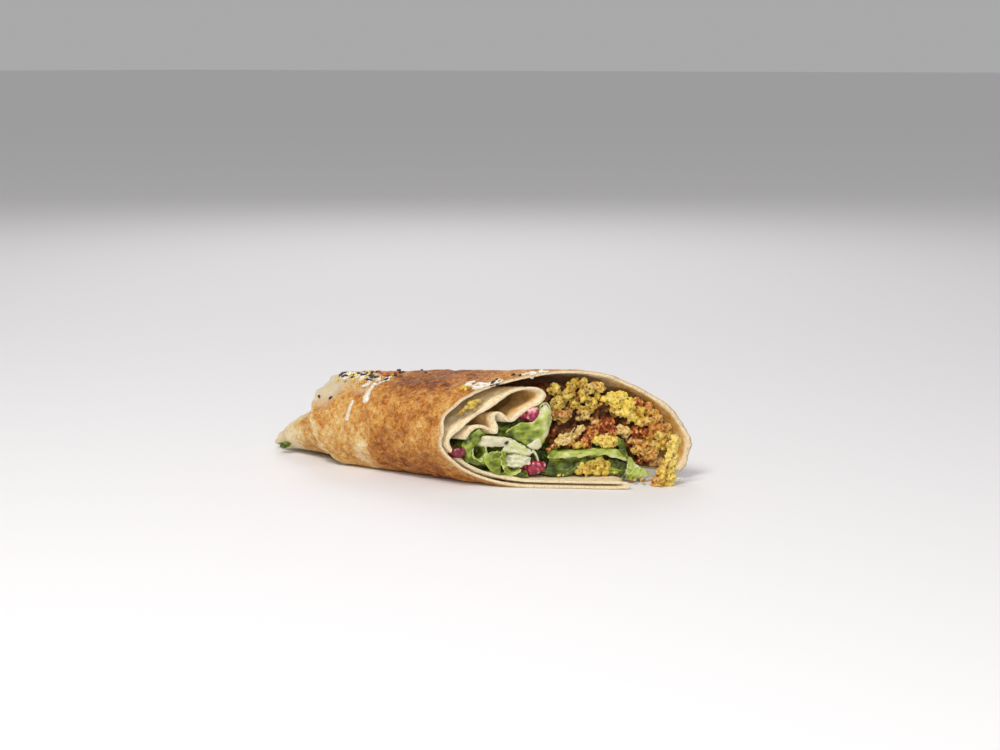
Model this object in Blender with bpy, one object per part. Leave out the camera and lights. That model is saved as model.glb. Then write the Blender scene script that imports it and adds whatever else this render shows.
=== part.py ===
"""Half of a falafel wrap, cut on the slant and lying on its seam.

One sheet of flatbread is rolled round crumbled falafel, lettuce, white cabbage and pickled turnip.
The roll lies along X. Its closed, tapering tail points to -X and its cut end faces +X and -Y.

Every piece is drawn once, as a section across the roll, in millimetres: y across and z up from the board.
place() carries a point of that section from the cut (t = 0) back to the rim of the outer turn (t = 1).
"""

import bmesh
import bpy
from math import cos, pi, sin
from mathutils import Vector, noise
from mathutils.geometry import delaunay_2d_cdt

MM = 0.001

# The roll: its section is largest at the cut and narrows towards the rim.
SECTION_HEIGHT = 54.6
SECTION_MIDDLE_Y = -2.0
CUT_X = 168.7  # where the slanting cut crosses y = 0
CUT_RUN = 1.0  # x gained for each mm of y along the cut, so the knife went in at 45 degrees
RIM_X = 39.0
RIM_RUN_LOW = 18.0  # how much further towards the cut the rim lies at the board
RIM_NARROW = 0.63
RIM_LOW = 0.78
RIM_MIDDLE_Y = -12.0
SAG = 6.5  # how far the near side spreads over the board at the rim
SAG_HEIGHT = 25.0
SAG_START_Y = -30.0

# The sheet of flatbread.
SHEET = 2.0
LAYER_GAP = 0.2
FOLD_RADIUS = (SHEET + LAYER_GAP) / 2
FOLD_PARTS = 4
SHEET_STEP = 4.4
PLEAT_STEP = 1.8
INNER_TURN_END = 0.68
LIP_START_Y = -31.0
LIP_RUN = 0.71  # how far the bottom edge stands out past the cut for each mm of y
LIP_HEIGHT = 8.0
SEAM_CLOSED_T = 0.35
SEAM_CLOSED_Y = 33.5
SHEET_STATIONS = (0.0, 0.06, 0.13, 0.21, 0.3, 0.4, 0.52, 0.64, 0.76, 0.88, 1.0)

# The tail, where the inner turn comes out of the outer one and tapers to a blunt tip.
TAIL_STEP = 7.0
TAIL_TIP_RUN = 2.0  # the tip is cut a little on the slant
TAIL_RINGS = (  # x, middle y, half width, bottom z, top z
    (-0.6, -19.4, 3.0, 0.3, 4.4),
    (1.8, -19.1, 5.4, 0.5, 7.2),
    (6.0, -18.4, 8.0, 1.0, 10.8),
    (12.0, -17.4, 10.8, 1.7, 14.8),
    (20.5, -16.0, 14.2, 2.0, 20.2),
    (30.0, -14.6, 17.8, 2.0, 26.0),
    (42.0, -13.0, 21.4, 1.2, 31.4),
    (52.0, -12.2, 22.8, 0.4, 34.4),
)
TAIL_JOIN_T = 0.9
TAIL_BACK_T = 0.82

# The filling.
FILLING_END = 0.68
LEAF = 1.2
LEAF_STEP = 2.2
LEAF_STATIONS = (0.0, 0.15, 0.4, 0.7, 1.0)  # shares of its run back into the roll
CHUNK_STEP = 3.0
CHUNK_STATIONS = (0.2, 0.6, 1.0)
CHUNK_CLEAR = 0.4  # the least gap between the points of a face and its outline, in steps
FACE_PROUD = 0.6  # how far a chunk's face stands out, in shares of its roughness
EDGE_PROUD = 0.3  # the same along its outline
BUMP_WAVES = 0.2  # bumps of a crumbly face for each mm
BUMP_DEPTH = 0.7
STICK_END = 0.3
CDT_TOLERANCE = 1e-6

# Section outlines: the wall, from the free edge at the right over the top and down to the flat bottom.
WALL = (
    (36.6, 4.4), (39.4, 9.5), (40.3, 16.0), (39.2, 23.5), (36.2, 30.0), (31.8, 36.3), (26.5, 41.6),
    (19.5, 46.8), (12.0, 51.2), (3.0, 53.5), (-6.0, 53.6), (-15.0, 52.0), (-24.0, 49.3), (-32.0, 45.8),
    (-38.2, 41.0), (-42.4, 35.0), (-44.2, 28.5), (-44.2, 22.0), (-42.0, 15.5), (-37.5, 9.7),
    (-31.0, 5.0), (-25.6, 2.2), (-20.0, SHEET / 2),
)
BOTTOM_START_Y = -20.0
LIP_Y = 3.4
# The inner turn, from the bottom up inside the wall to where the pleat leaves it.
INNER_WALL = (
    (-20.0, 3.3), (-24.6, 4.4), (-30.0, 7.0), (-35.8, 11.3), (-39.9, 16.8), (-41.7, 21.6),
)
# The pleat: a band up to the right, a loop, and a wavy layer back to the left.
PLEAT = (
    (-40.6, 25.2), (-37.6, 29.0), (-34.0, 32.5), (-30.0, 36.4), (-26.0, 40.3), (-22.0, 43.6),
    (-18.0, 46.0), (-14.0, 46.9), (-10.8, 46.2), (-8.9, 43.8), (-9.2, 41.2), (-11.2, 39.2),
    (-14.0, 37.3), (-17.0, 35.0), (-19.0, 32.2), (-20.6, 30.4), (-22.2, 31.8), (-23.0, 34.4),
    (-24.6, 36.3), (-26.2, 34.8), (-25.6, 31.6), (-25.0, 28.6), (-25.0, 26.4), (-26.3, 25.0),
    (-27.6, 26.6), (-28.9, 28.6), (-31.2, 29.5), (-33.6, 28.5), (-35.3, 25.8), (-36.4, 23.2),
)

HEAP = (
    (-6.3, 38.0), (-6.7, 43.0), (-5.2, 48.0), (0.0, 50.8), (8.0, 50.2), (14.0, 47.6), (20.0, 43.8),
    (26.0, 38.8), (31.0, 33.2), (34.4, 27.4), (36.6, 21.0), (37.4, 15.0), (36.4, 9.6), (33.0, 8.8),
    (30.0, 11.2), (26.0, 12.8), (22.6, 13.4), (19.6, 15.4), (15.8, 17.2), (10.0, 17.0), (3.0, 17.4),
    (-4.4, 17.4), (-5.0, 22.0), (-4.8, 28.0), (-5.3, 33.0),
)
POCKET_CRUMB = ((-37.4, 37.4), (-35.8, 39.4), (-33.4, 41.4), (-31.0, 42.4), (-30.2, 40.6), (-32.4, 37.6), (-35.2, 35.4))
LOW_FALAFEL = ((3.6, 6.2), (6.8, 9.6), (8.2, 12.4), (12.6, 12.8), (15.8, 11.6), (16.6, 7.6), (14.6, 5.4), (6.0, 5.2))

UPPER_LEAF = (
    (-23.0, 27.2), (-20.0, 28.4), (-16.5, 29.4), (-12.5, 29.2), (-9.4, 31.6), (-8.6, 35.6), (-7.2, 36.8),
    (-6.2, 33.6), (-6.6, 28.0), (-6.2, 23.0), (-9.0, 19.6), (-13.5, 20.6), (-17.2, 23.2), (-21.4, 25.0),
)
RIB = (
    (-31.5, 22.4), (-30.2, 23.6), (-28.2, 22.8), (-24.6, 22.8), (-21.6, 22.6), (-17.6, 20.0),
    (-13.6, 16.4), (-16.0, 16.4), (-22.4, 18.8), (-26.6, 18.8), (-31.0, 19.6),
)
CABBAGE = ((-21.2, 13.5), (-19.5, 15.6), (-14.9, 15.0), (-13.6, 12.2), (-15.4, 9.4), (-19.8, 9.2))
CURLED_LEAF = (
    (-31.0, 25.8), (-32.8, 24.2), (-33.5, 21.0), (-33.0, 16.4), (-31.2, 12.8), (-28.2, 11.0),
    (-25.2, 11.8), (-24.4, 14.4), (-26.0, 16.4), (-28.6, 16.2), (-29.6, 14.4),
)
LOW_LEAF = ((-26.8, 7.6), (-24.0, 8.6), (-21.8, 6.6), (-18.6, 6.0), (-16.2, 7.4))
RIGHT_LEAF = (
    (5.4, 11.2), (3.0, 8.8), (0.2, 7.0), (-3.2, 7.8), (-6.2, 10.8), (-7.2, 13.6), (-4.6, 15.3),
    (0.0, 15.8), (6.0, 15.4), (11.0, 15.3), (15.6, 14.9), (18.2, 12.2), (18.8, 8.8), (18.4, 6.6),
)
BLADE = ((20.6, 12.2), (20.9, 9.4), (22.4, 6.8), (25.5, 5.6), (29.0, 5.0))

LEFT_TURNIP = ((-37.8, 15.9), (-38.0, 18.4), (-36.6, 19.9), (-34.9, 19.0), (-34.7, 15.6), (-36.0, 14.2))
MIDDLE_TURNIP = ((-16.2, 31.6), (-15.6, 33.6), (-13.4, 35.4), (-11.0, 36.4), (-10.2, 33.4), (-12.2, 30.8))
LOW_TURNIP = ((-14.4, 8.2), (-12.8, 11.2), (-9.2, 10.8), (-8.0, 7.8), (-9.6, 5.2), (-13.4, 5.2))

# The falafel that has fallen forward out of the cut and stands on the board.
SPILL_MIDDLE = (207.6, 16.6)
SPILL_LEAN = (0.6, 11.0)
SPILL_RINGS = (  # z, radius
    (0.0, 3.2), (1.2, 5.2), (4.0, 6.0), (8.0, 5.0), (12.0, 6.2), (16.5, 6.4), (20.5, 4.8), (23.0, 1.8),
)
SPILL_SIDES = 16
SPILL_FLAT = 0.62  # how deep it is for its width
SPILL_LUMPS = 0.34
SPILL_WAVES_ROUND = 1.6
SPILL_WAVES_UP = 0.23

# The leaf that shows at the tip of the tail.
TAIL_LEAF_MIDDLE = (13.6, -29.15, 4.4)
TAIL_LEAF_HALF = (3.6, 1.3, 1.8)
TAIL_LEAF_SEGMENTS, TAIL_LEAF_RINGS = 12, 8


COLOURS = {
    "flatbread": (0.72, 0.47, 0.22),
    "falafel": (0.62, 0.44, 0.12),
    "leaf": (0.22, 0.42, 0.06),
    "pale": (0.74, 0.78, 0.58),
    "turnip": (0.55, 0.03, 0.12),
}
ROUGHNESS = 0.6


def clear_scene():
    for obj in list(bpy.data.objects):
        bpy.data.objects.remove(obj)


def make_material(name):
    material = bpy.data.materials.new(name)
    material.use_nodes = True
    shader = material.node_tree.nodes["Principled BSDF"]
    shader.inputs["Base Color"].default_value = (*COLOURS[name], 1)
    shader.inputs["Roughness"].default_value = ROUGHNESS
    return material


def make_object(name, points, faces, material):
    mesh = bpy.data.meshes.new(name)
    mesh.from_pydata([Vector(p) * MM for p in points], [], faces)
    mesh.materials.append(material)
    made = bmesh.new()
    made.from_mesh(mesh)
    bmesh.ops.recalc_face_normals(made, faces=made.faces)
    made.to_mesh(mesh)
    made.free()
    obj = bpy.data.objects.new(name, mesh)
    bpy.context.scene.collection.objects.link(obj)
    return obj


def mix(a, b, share):
    return a + (b - a) * share


def rim_x(z):
    """Where the outer turn ends, which is nearer the cut at the board than at the top."""
    return RIM_X + RIM_RUN_LOW * (1 - min(z, SECTION_HEIGHT) / SECTION_HEIGHT) ** 4


def place(y, z, t, forward=0.0):
    """A point of the section, t of the way from the cut to the rim. forward moves the cut end out along X."""
    front = CUT_X + CUT_RUN * y + forward
    sag = SAG * t * max(0, 1 - z / SAG_HEIGHT) ** 2 * min(1, max(0, y / SAG_START_Y))
    return (
        mix(front, rim_x(z), t),
        mix(SECTION_MIDDLE_Y, RIM_MIDDLE_Y, t) + (y - SECTION_MIDDLE_Y) * mix(1, RIM_NARROW, t) - sag,
        z * mix(1, RIM_LOW, t),
    )


def spline(points, step, closed=False):
    """Points a step apart on the Catmull-Rom curve through the given ones."""
    count = len(points)
    spans = count if closed else count - 1
    made = []
    for i in range(spans):
        a, b, c, d = (
            Vector(points[k % count] if closed else points[max(0, min(count - 1, k))])
            for k in (i - 1, i, i + 1, i + 2)
        )
        pieces = max(1, round((c - b).length / step))
        for j in range(pieces):
            s = j / pieces
            made.append(
                0.5 * (2 * b + (c - a) * s + (2 * a - 5 * b + 4 * c - d) * s**2 + (3 * b - a - 3 * c + d) * s**3)
            )
    if not closed:
        made.append(Vector(points[-1]))
    return made


def sides_of(path, thickness):
    """The two sides of a layer of this thickness whose middle is the path."""
    left, right = [], []
    for i, point in enumerate(path):
        along = (path[min(i + 1, len(path) - 1)] - path[max(i - 1, 0)]).normalized()
        across = Vector((-along.y, along.x)) * thickness / 2
        left.append(point + across)
        right.append(point - across)
    return left, right


def layer_solid(name, rows, material):
    """A closed layer from rows of stations. rows[side][station] is the line of points across the section."""
    stations, width = len(rows[0]), len(rows[0][0])
    points = [p for side in rows for line in side for p in line]

    def at(side, station, i):
        return (side * stations + station) * width + i

    faces = []
    for s in range(stations - 1):
        for i in range(width - 1):
            faces.append((at(0, s, i), at(0, s + 1, i), at(0, s + 1, i + 1), at(0, s, i + 1)))
            faces.append((at(1, s, i), at(1, s, i + 1), at(1, s + 1, i + 1), at(1, s + 1, i)))
        for i, order in ((0, 1), (width - 1, -1)):
            edge = (at(0, s, i), at(1, s, i), at(1, s + 1, i), at(0, s + 1, i))
            faces.append(edge[::order])
    for i in range(width - 1):
        faces.append((at(0, 0, i), at(0, 0, i + 1), at(1, 0, i + 1), at(1, 0, i)))
        last = stations - 1
        faces.append((at(0, last, i), at(1, last, i), at(1, last, i + 1), at(0, last, i + 1)))
    return make_object(name, points, faces, material)


def sheet_path():
    """The middle of the sheet across the cut, with how far round the bottom fold each point is."""
    wall = spline(WALL, SHEET_STEP)
    bottom = spline(((BOTTOM_START_Y, SHEET / 2), (LIP_Y, SHEET / 2)), SHEET_STEP)[1:]
    turns = [pi * k / FOLD_PARTS for k in range(1, FOLD_PARTS)]
    fold = [Vector((LIP_Y + FOLD_RADIUS * sin(a), SHEET / 2 + FOLD_RADIUS * (1 - cos(a)))) for a in turns]
    upper = SHEET / 2 + 2 * FOLD_RADIUS
    back = spline(((LIP_Y, upper), (BOTTOM_START_Y, INNER_WALL[0][1])), SHEET_STEP)[:-1]
    inner = spline(INNER_WALL + PLEAT, PLEAT_STEP)
    outer_count = len(wall) + len(bottom)
    return wall + bottom + fold + back + inner, outer_count, outer_count + len(fold) + len(back)


def seam_shift(y, t):
    """The flat bottom reaches further across the roll behind the cut, where the seam is shut."""
    if y <= BOTTOM_START_Y:
        return y
    closing = min(t / SEAM_CLOSED_T, 1)
    reach = mix(LIP_Y, SEAM_CLOSED_Y, closing * closing * (3 - 2 * closing))
    return BOTTOM_START_Y + (y - BOTTOM_START_Y) * (reach - BOTTOM_START_Y) / (LIP_Y - BOTTOM_START_Y)


def flatbread(material):
    path, outer_count, bottom_end = sheet_path()
    wall_count = len(spline(WALL, SHEET_STEP))
    sides = sides_of(path, SHEET)
    rows = ([], [])
    for station in SHEET_STATIONS:
        for side, line in zip(rows, sides):
            made = []
            for i, (y, z) in enumerate(line):
                t = station * (1 if i < outer_count else INNER_TURN_END)
                on_bottom = wall_count <= i < bottom_end
                moved = seam_shift(y, t) if on_bottom else y
                lip = LIP_RUN * (y - LIP_START_Y) if on_bottom or (z < LIP_HEIGHT and LIP_START_Y < y < 0) else 0
                made.append(place(moved, z, t, max(0, lip)))
            side.append(made)
    bread = layer_solid("flatbread", rows, material)
    join_tail(bread, tail(material))
    return bread


def tail_outline():
    """The middle of the wall's outline, closed along the bottom."""
    wall = spline(WALL, TAIL_STEP)
    bottom = spline(((BOTTOM_START_Y, SHEET / 2), (SEAM_CLOSED_Y, SHEET / 2)), TAIL_STEP)[1:]
    return wall + bottom


def tail(material):
    """The inner turn: rings from the blunt tip back to the middle of the wall, and a flat back inside the roll."""
    outline = tail_outline()
    low_y, high_y = min(p.x for p in outline), max(p.x for p in outline)
    low_z, high_z = min(p.y for p in outline), max(p.y for p in outline)
    rings = []
    for x, middle, half, bottom, top in TAIL_RINGS:
        ring = []
        for y, z in outline:
            across = (2 * y - low_y - high_y) / (high_y - low_y)
            up = (z - low_z) / (high_z - low_z)
            ring.append((x + TAIL_TIP_RUN * across, middle + half * across, mix(bottom, top, up)))
        rings.append(ring)
    rings += [[place(y, z, t) for y, z in outline] for t in (TAIL_JOIN_T, TAIL_BACK_T)]
    points = [p for ring in rings for p in ring]
    sides = len(outline)
    faces = []
    for r in range(len(rings) - 1):
        for k in range(sides):
            a, b = r * sides + k, r * sides + (k + 1) % sides
            faces.append((a, b, b + sides, a + sides))
    edges = [(k, (k + 1) % sides) for k in range(sides)]
    cap = delaunay_2d_cdt([Vector(p) for p in outline], edges, [], 1, CDT_TOLERANCE)[2]
    last = len(points) - sides
    faces += [tuple(f) for f in cap] + [tuple(last + k for k in reversed(f)) for f in cap]
    return make_object("tail_cutter", points, faces, material)


def join_tail(bread, piece):
    piece.hide_render = True
    piece.display_type = "WIRE"
    union = bread.modifiers.new("tail", "BOOLEAN")
    union.operation = "UNION"
    union.solver = "EXACT"
    union.object = piece


def leaf(name, outline, end, material, thickness=LEAF, forward=0.0):
    """A leaf seen on edge at the cut, running back into the roll."""
    sides = sides_of(spline(outline, LEAF_STEP), thickness)
    stations = [end * s for s in LEAF_STATIONS]
    rows = [[[place(y, z, t, forward) for y, z in line] for t in stations] for line in sides]
    return layer_solid(name, rows, material)


def inside(point, outline):
    """True if the point is inside the closed outline."""
    y, z = point
    found = False
    for (ay, az), (by, bz) in zip(outline, outline[1:] + outline[:1]):
        if (az > z) != (bz > z) and y < ay + (z - az) * (by - ay) / (bz - az):
            found = not found
    return found


def edge_distance(point, outline):
    """How far the point is from the nearest side of the closed outline."""
    nearest = float("inf")
    for a, b in zip(outline, outline[1:] + outline[:1]):
        side, reach = Vector(b) - Vector(a), Vector(point) - Vector(a)
        share = max(0, min(1, reach.dot(side) / side.length_squared))
        nearest = min(nearest, (reach - side * share).length)
    return nearest


def bump(y, z, size):
    """How far a crumbly face stands out, from 0 to about the size."""
    return size * (0.5 + BUMP_DEPTH * noise.noise(Vector((y * BUMP_WAVES, z * BUMP_WAVES, 0.3))))


def chunk(name, outline, end, material, step=CHUNK_STEP, rough=1.5, forward=0.0):
    """A solid with this closed section, a lumpy face at the cut, and a plain end inside the roll."""
    ring = [tuple(p) for p in spline(outline, step, closed=True)]
    count = len(ring)
    low_y, high_y = min(p[0] for p in ring), max(p[0] for p in ring)
    low_z, high_z = min(p[1] for p in ring), max(p[1] for p in ring)
    grid = [
        (low_y + step * (i + 0.5 * (j % 2)), low_z + step * j)
        for j in range(int((high_z - low_z) / step) + 1)
        for i in range(int((high_y - low_y) / step) + 1)
    ]
    grid = [p for p in grid if inside(p, ring) and edge_distance(p, ring) > CHUNK_CLEAR * step]
    flat = [Vector(p) for p in ring + grid]
    edges = [(k, (k + 1) % count) for k in range(count)]
    flat, _, triangles = delaunay_2d_cdt(flat, edges, [], 1, CDT_TOLERANCE)[:3]
    front = []
    for i, (y, z) in enumerate(flat):
        swell = EDGE_PROUD * rough if i < count else bump(y, z, rough) + FACE_PROUD * rough
        front.append(place(y, z, 0, forward + swell))
    stations = [end * s for s in CHUNK_STATIONS]
    points = front + [place(y, z, t) for t in stations for y, z in ring]
    first = len(front)
    rings = [list(range(count))] + [[first + s * count + k for k in range(count)] for s in range(len(stations))]
    faces = [tuple(f) for f in triangles]
    for a, b in zip(rings, rings[1:]):
        for k in range(count):
            n = (k + 1) % count
            faces.append((a[k], a[n], b[n], b[k]))
    back = delaunay_2d_cdt([Vector(p) for p in ring], edges, [], 1, CDT_TOLERANCE)[2]
    faces += [tuple(rings[-1][k] for k in reversed(f)) for f in back]
    return make_object(name, points, faces, material)


def spill(material):
    """A lumpy column of falafel leaning back against the heap."""
    points, faces = [], []
    for r, (z, radius) in enumerate(SPILL_RINGS):
        share = z / SPILL_RINGS[-1][0]
        for k in range(SPILL_SIDES):
            angle = 2 * pi * k / SPILL_SIDES
            where = (SPILL_WAVES_ROUND * cos(angle), SPILL_WAVES_ROUND * sin(angle), SPILL_WAVES_UP * z)
            lump = 1 + SPILL_LUMPS * noise.noise(Vector(where))
            points.append((
                SPILL_MIDDLE[0] + SPILL_LEAN[0] * share + SPILL_FLAT * radius * lump * cos(angle),
                SPILL_MIDDLE[1] + SPILL_LEAN[1] * share + radius * lump * sin(angle),
                z,
            ))
        if r:
            for k in range(SPILL_SIDES):
                a, b = (r - 1) * SPILL_SIDES + k, (r - 1) * SPILL_SIDES + (k + 1) % SPILL_SIDES
                faces.append((a, b, b + SPILL_SIDES, a + SPILL_SIDES))
    faces.append(tuple(range(SPILL_SIDES - 1, -1, -1)))
    last = len(points) - SPILL_SIDES
    faces.append(tuple(range(last, last + SPILL_SIDES)))
    return make_object("falafel_spill", points, faces, material)


def tail_leaf(material):
    """A small leaf lying against the front of the tail's tip."""
    bpy.ops.mesh.primitive_uv_sphere_add(segments=TAIL_LEAF_SEGMENTS, ring_count=TAIL_LEAF_RINGS, radius=1)
    obj = bpy.context.object
    obj.name = obj.data.name = "lettuce_tail"
    for vertex in obj.data.vertices:
        vertex.co = Vector([(m + h * c) * MM for m, h, c in zip(TAIL_LEAF_MIDDLE, TAIL_LEAF_HALF, vertex.co)])
    obj.data.materials.append(material)
    return obj


def stand_on_origin(objects):
    """Moves the model so that the middle of its base is at the origin."""
    bpy.context.view_layer.update()
    corners = [o.matrix_world @ Vector(c) for o in objects for c in o.bound_box]
    low = Vector(min(c[k] for c in corners) for k in range(3))
    high = Vector(max(c[k] for c in corners) for k in range(3))
    shift = Vector((-(low.x + high.x) / 2, -(low.y + high.y) / 2, -low.z))
    for obj in objects:
        obj.location += shift


def build():
    clear_scene()
    bread, falafel, green, pale, pink = (make_material(n) for n in COLOURS)
    flatbread(bread)
    chunk("falafel_heap", HEAP, FILLING_END, falafel, rough=4.0)
    chunk("falafel_pocket", POCKET_CRUMB, STICK_END, falafel, rough=1.0, forward=-2.0)
    chunk("falafel_low", LOW_FALAFEL, STICK_END, falafel, rough=2.0, forward=3.0)
    spill(falafel)
    chunk("lettuce_upper", UPPER_LEAF, FILLING_END, green)
    leaf("lettuce_curled", CURLED_LEAF, FILLING_END, green)
    leaf("lettuce_low", LOW_LEAF, FILLING_END, green, forward=2.0)
    leaf("lettuce_right", RIGHT_LEAF, FILLING_END, green, forward=4.0)
    leaf("lettuce_blade", BLADE, FILLING_END, green, forward=4.0)
    chunk("lettuce_rib", RIB, FILLING_END, pale, rough=1.0)
    chunk("white_cabbage", CABBAGE, FILLING_END, pale, rough=1.0, forward=2.0)
    chunk("turnip_left", LEFT_TURNIP, STICK_END, pink, rough=1.0)
    chunk("turnip_middle", MIDDLE_TURNIP, STICK_END, pink, rough=1.0)
    chunk("turnip_low", LOW_TURNIP, STICK_END, pink, rough=1.0, forward=3.0)
    tail_leaf(green)
    stand_on_origin([o for o in bpy.data.objects if o.type == "MESH"])


build()
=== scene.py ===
"""Looks of half a falafel wrap: toasted flatbread round crumbled falafel, salad, pickled turnip, sauce and seeds.

Sections are drawn as for the solids: in millimetres, y across the roll and z up from the board. place() carries
a section point from the slanting cut (t = 0) back to the rim of the outer turn (t = 1), and spot() puts a piece
of filling in front of the cut or behind it.
"""
from math import cos, pi, radians, sin

import bmesh
import bpy
import numpy as np
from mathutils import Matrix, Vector
from mathutils.bvhtree import BVHTree
from mathutils.kdtree import KDTree


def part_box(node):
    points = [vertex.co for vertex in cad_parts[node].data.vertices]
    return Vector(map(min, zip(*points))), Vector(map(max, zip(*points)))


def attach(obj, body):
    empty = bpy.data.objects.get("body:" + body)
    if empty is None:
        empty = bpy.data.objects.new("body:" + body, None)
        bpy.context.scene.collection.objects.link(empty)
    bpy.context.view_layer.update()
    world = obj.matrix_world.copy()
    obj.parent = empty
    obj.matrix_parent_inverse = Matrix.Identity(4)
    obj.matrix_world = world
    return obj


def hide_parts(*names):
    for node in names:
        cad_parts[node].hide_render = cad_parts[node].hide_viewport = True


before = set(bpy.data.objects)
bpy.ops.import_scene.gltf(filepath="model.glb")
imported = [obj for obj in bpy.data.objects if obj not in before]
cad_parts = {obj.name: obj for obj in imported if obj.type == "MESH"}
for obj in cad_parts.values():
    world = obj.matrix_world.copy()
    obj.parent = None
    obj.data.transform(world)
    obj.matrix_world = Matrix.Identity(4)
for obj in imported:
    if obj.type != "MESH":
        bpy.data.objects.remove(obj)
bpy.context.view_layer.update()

MM = 0.001

# ---------------------------------------------------------------- the roll, as its solids have it, in millimetres
SECTION_HEIGHT = 54.6
SECTION_MIDDLE_Y = -2.0
CUT_X = 168.7
CUT_RUN = 1.0
RIM_X = 39.0
RIM_RUN_LOW = 18.0
RIM_NARROW = 0.63
RIM_LOW = 0.78
RIM_MIDDLE_Y = -12.0
SAG = 6.5
SAG_HEIGHT = 25.0
SAG_START_Y = -30.0
SHEET = 2.0
FOLD_RADIUS = 1.1
INNER_TURN_END = 0.68
LIP_START_Y = -31.0
LIP_RUN = 0.71
LIP_Y = 3.4
SEAM_CLOSED_T = 0.35
SEAM_CLOSED_Y = 33.5
BOTTOM_START_Y = -20.0
WALL = (
    (36.6, 4.4), (39.4, 9.5), (40.3, 16.0), (39.2, 23.5), (36.2, 30.0), (31.8, 36.3), (26.5, 41.6),
    (19.5, 46.8), (12.0, 51.2), (3.0, 53.5), (-6.0, 53.6), (-15.0, 52.0), (-24.0, 49.3), (-32.0, 45.8),
    (-38.2, 41.0), (-42.4, 35.0), (-44.2, 28.5), (-44.2, 22.0), (-42.0, 15.5), (-37.5, 9.7),
    (-31.0, 5.0), (-25.6, 2.2), (-20.0, SHEET / 2),
)
INNER_WALL = (
    (-20.0, 3.3), (-24.6, 4.4), (-30.0, 7.0), (-35.8, 11.3), (-39.9, 16.8), (-41.7, 21.6),
)
PLEAT = (
    (-40.6, 25.2), (-37.6, 29.0), (-34.0, 32.5), (-30.0, 36.4), (-26.0, 40.3), (-22.0, 43.6),
    (-18.0, 46.0), (-14.0, 46.9), (-10.8, 46.2), (-8.9, 43.8), (-9.2, 41.2), (-11.2, 39.2),
    (-14.0, 37.3), (-17.0, 35.0), (-19.0, 32.2), (-20.6, 30.4), (-22.2, 31.8), (-23.0, 34.4),
    (-24.6, 36.3), (-26.2, 34.8), (-25.6, 31.6), (-25.0, 28.6), (-25.0, 26.4), (-26.3, 25.0),
    (-27.6, 26.6), (-28.9, 28.6), (-31.2, 29.5), (-33.6, 28.5), (-35.3, 25.8), (-36.4, 23.2),
)
TAIL_RINGS = (  # x, middle y, half width, bottom z, top z
    (-0.6, -19.4, 3.0, 0.3, 4.4), (1.8, -19.1, 5.4, 0.5, 7.2), (6.0, -18.4, 8.0, 1.0, 10.8), (12.0, -17.4, 10.8, 1.7, 14.8),
    (20.5, -16.0, 14.2, 2.0, 20.2), (30.0, -14.6, 17.8, 2.0, 26.0), (42.0, -13.0, 21.4, 1.2, 31.4), (52.0, -12.2, 22.8, 0.4, 34.4),
)
TAIL_TIP_X = -2.6
WALL_FAR_Y = 41.3
FILLING_RUN = 125.0  # from the cut to the rim, at the middle of the roll
OUT_OF_CUT = np.array((0.412, -0.588, 0.127))  # nearly square to the cut; adds 1 to x - y, as a move along X does

BREAD_LOW, BREAD_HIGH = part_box("flatbread")
ORIGIN = np.array((BREAD_LOW.x - TAIL_TIP_X * MM, BREAD_HIGH.y - WALL_FAR_Y * MM, 0.0))


# ---------------------------------------------------------------- drawing in the section
def place(y, z, t=0.0, forward=0.0):
    """Points of the section, t of the way from the cut to the rim, in metres. forward moves the cut end along X."""
    y, z, t, forward = np.broadcast_arrays(*(np.asarray(v, float) for v in (y, z, t, forward)))
    sag = SAG * t * np.clip(1 - z / SAG_HEIGHT, 0, None) ** 2 * np.clip(y / SAG_START_Y, 0, 1)
    rim = RIM_X + RIM_RUN_LOW * np.clip(1 - z / SECTION_HEIGHT, 0, None) ** 4
    front = CUT_X + CUT_RUN * y + forward
    narrow, low = 1 + (RIM_NARROW - 1) * t, 1 + (RIM_LOW - 1) * t
    middle = SECTION_MIDDLE_Y + (RIM_MIDDLE_Y - SECTION_MIDDLE_Y) * t
    across = middle + (y - SECTION_MIDDLE_Y) * narrow - sag
    return np.stack((front + (rim - front) * t, across, z * low), axis=-1) * MM + ORIGIN


def spot(y, z, forward=0.0):
    """A place in the filling: standing out of the cut, or behind it, where the roll narrows."""
    forward = np.asarray(forward, float)
    behind = place(y, z, np.clip(-forward / FILLING_RUN, 0, 1))
    return behind + np.clip(forward, 0, None)[..., None] * OUT_OF_CUT * MM


def nest(y, z, forward):
    """A place among the crumbs, in or out of the cut the same way."""
    return place(y, z) + np.asarray(forward, float)[..., None] * OUT_OF_CUT * MM


def row(x, y, z):
    """A place given along the roll from the tip of the tail, in millimetres."""
    return np.array((x, y, z)) * MM + ORIGIN


def curve(points, step, closed=False):
    """Evenly stepped points on the Catmull-Rom curve through the given ones."""
    knots = np.asarray(points, float)
    count = len(knots)
    made = []
    for i in range(count if closed else count - 1):
        if closed:
            a, b, c, d = (knots[(i + k) % count] for k in (-1, 0, 1, 2))
        else:
            a, b, c, d = (knots[min(max(i + k, 0), count - 1)] for k in (-1, 0, 1, 2))
        pieces = max(1, round(np.linalg.norm(c - b) / step))
        s = (np.arange(pieces) / pieces)[:, None]
        made.append(
            0.5 * (2 * b + (c - a) * s + (2 * a - 5 * b + 4 * c - d) * s**2 + (3 * b - a - 3 * c + d) * s**3)
        )
    if not closed:
        made.append(knots[-1:])
    return np.concatenate(made)


def relax(path, rounds):
    """The path with its sharp bends eased."""
    path = path.copy()
    for _ in range(rounds):
        path[1:-1] += 0.5 * ((path[:-2] + path[2:]) / 2 - path[1:-1])
    return path


def across(path):
    """Unit normals of a section path, to the left of its direction."""
    along = np.gradient(path, axis=0)
    along /= np.linalg.norm(along, axis=1)[:, None]
    return np.stack((-along[:, 1], along[:, 0]), axis=-1)


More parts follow.
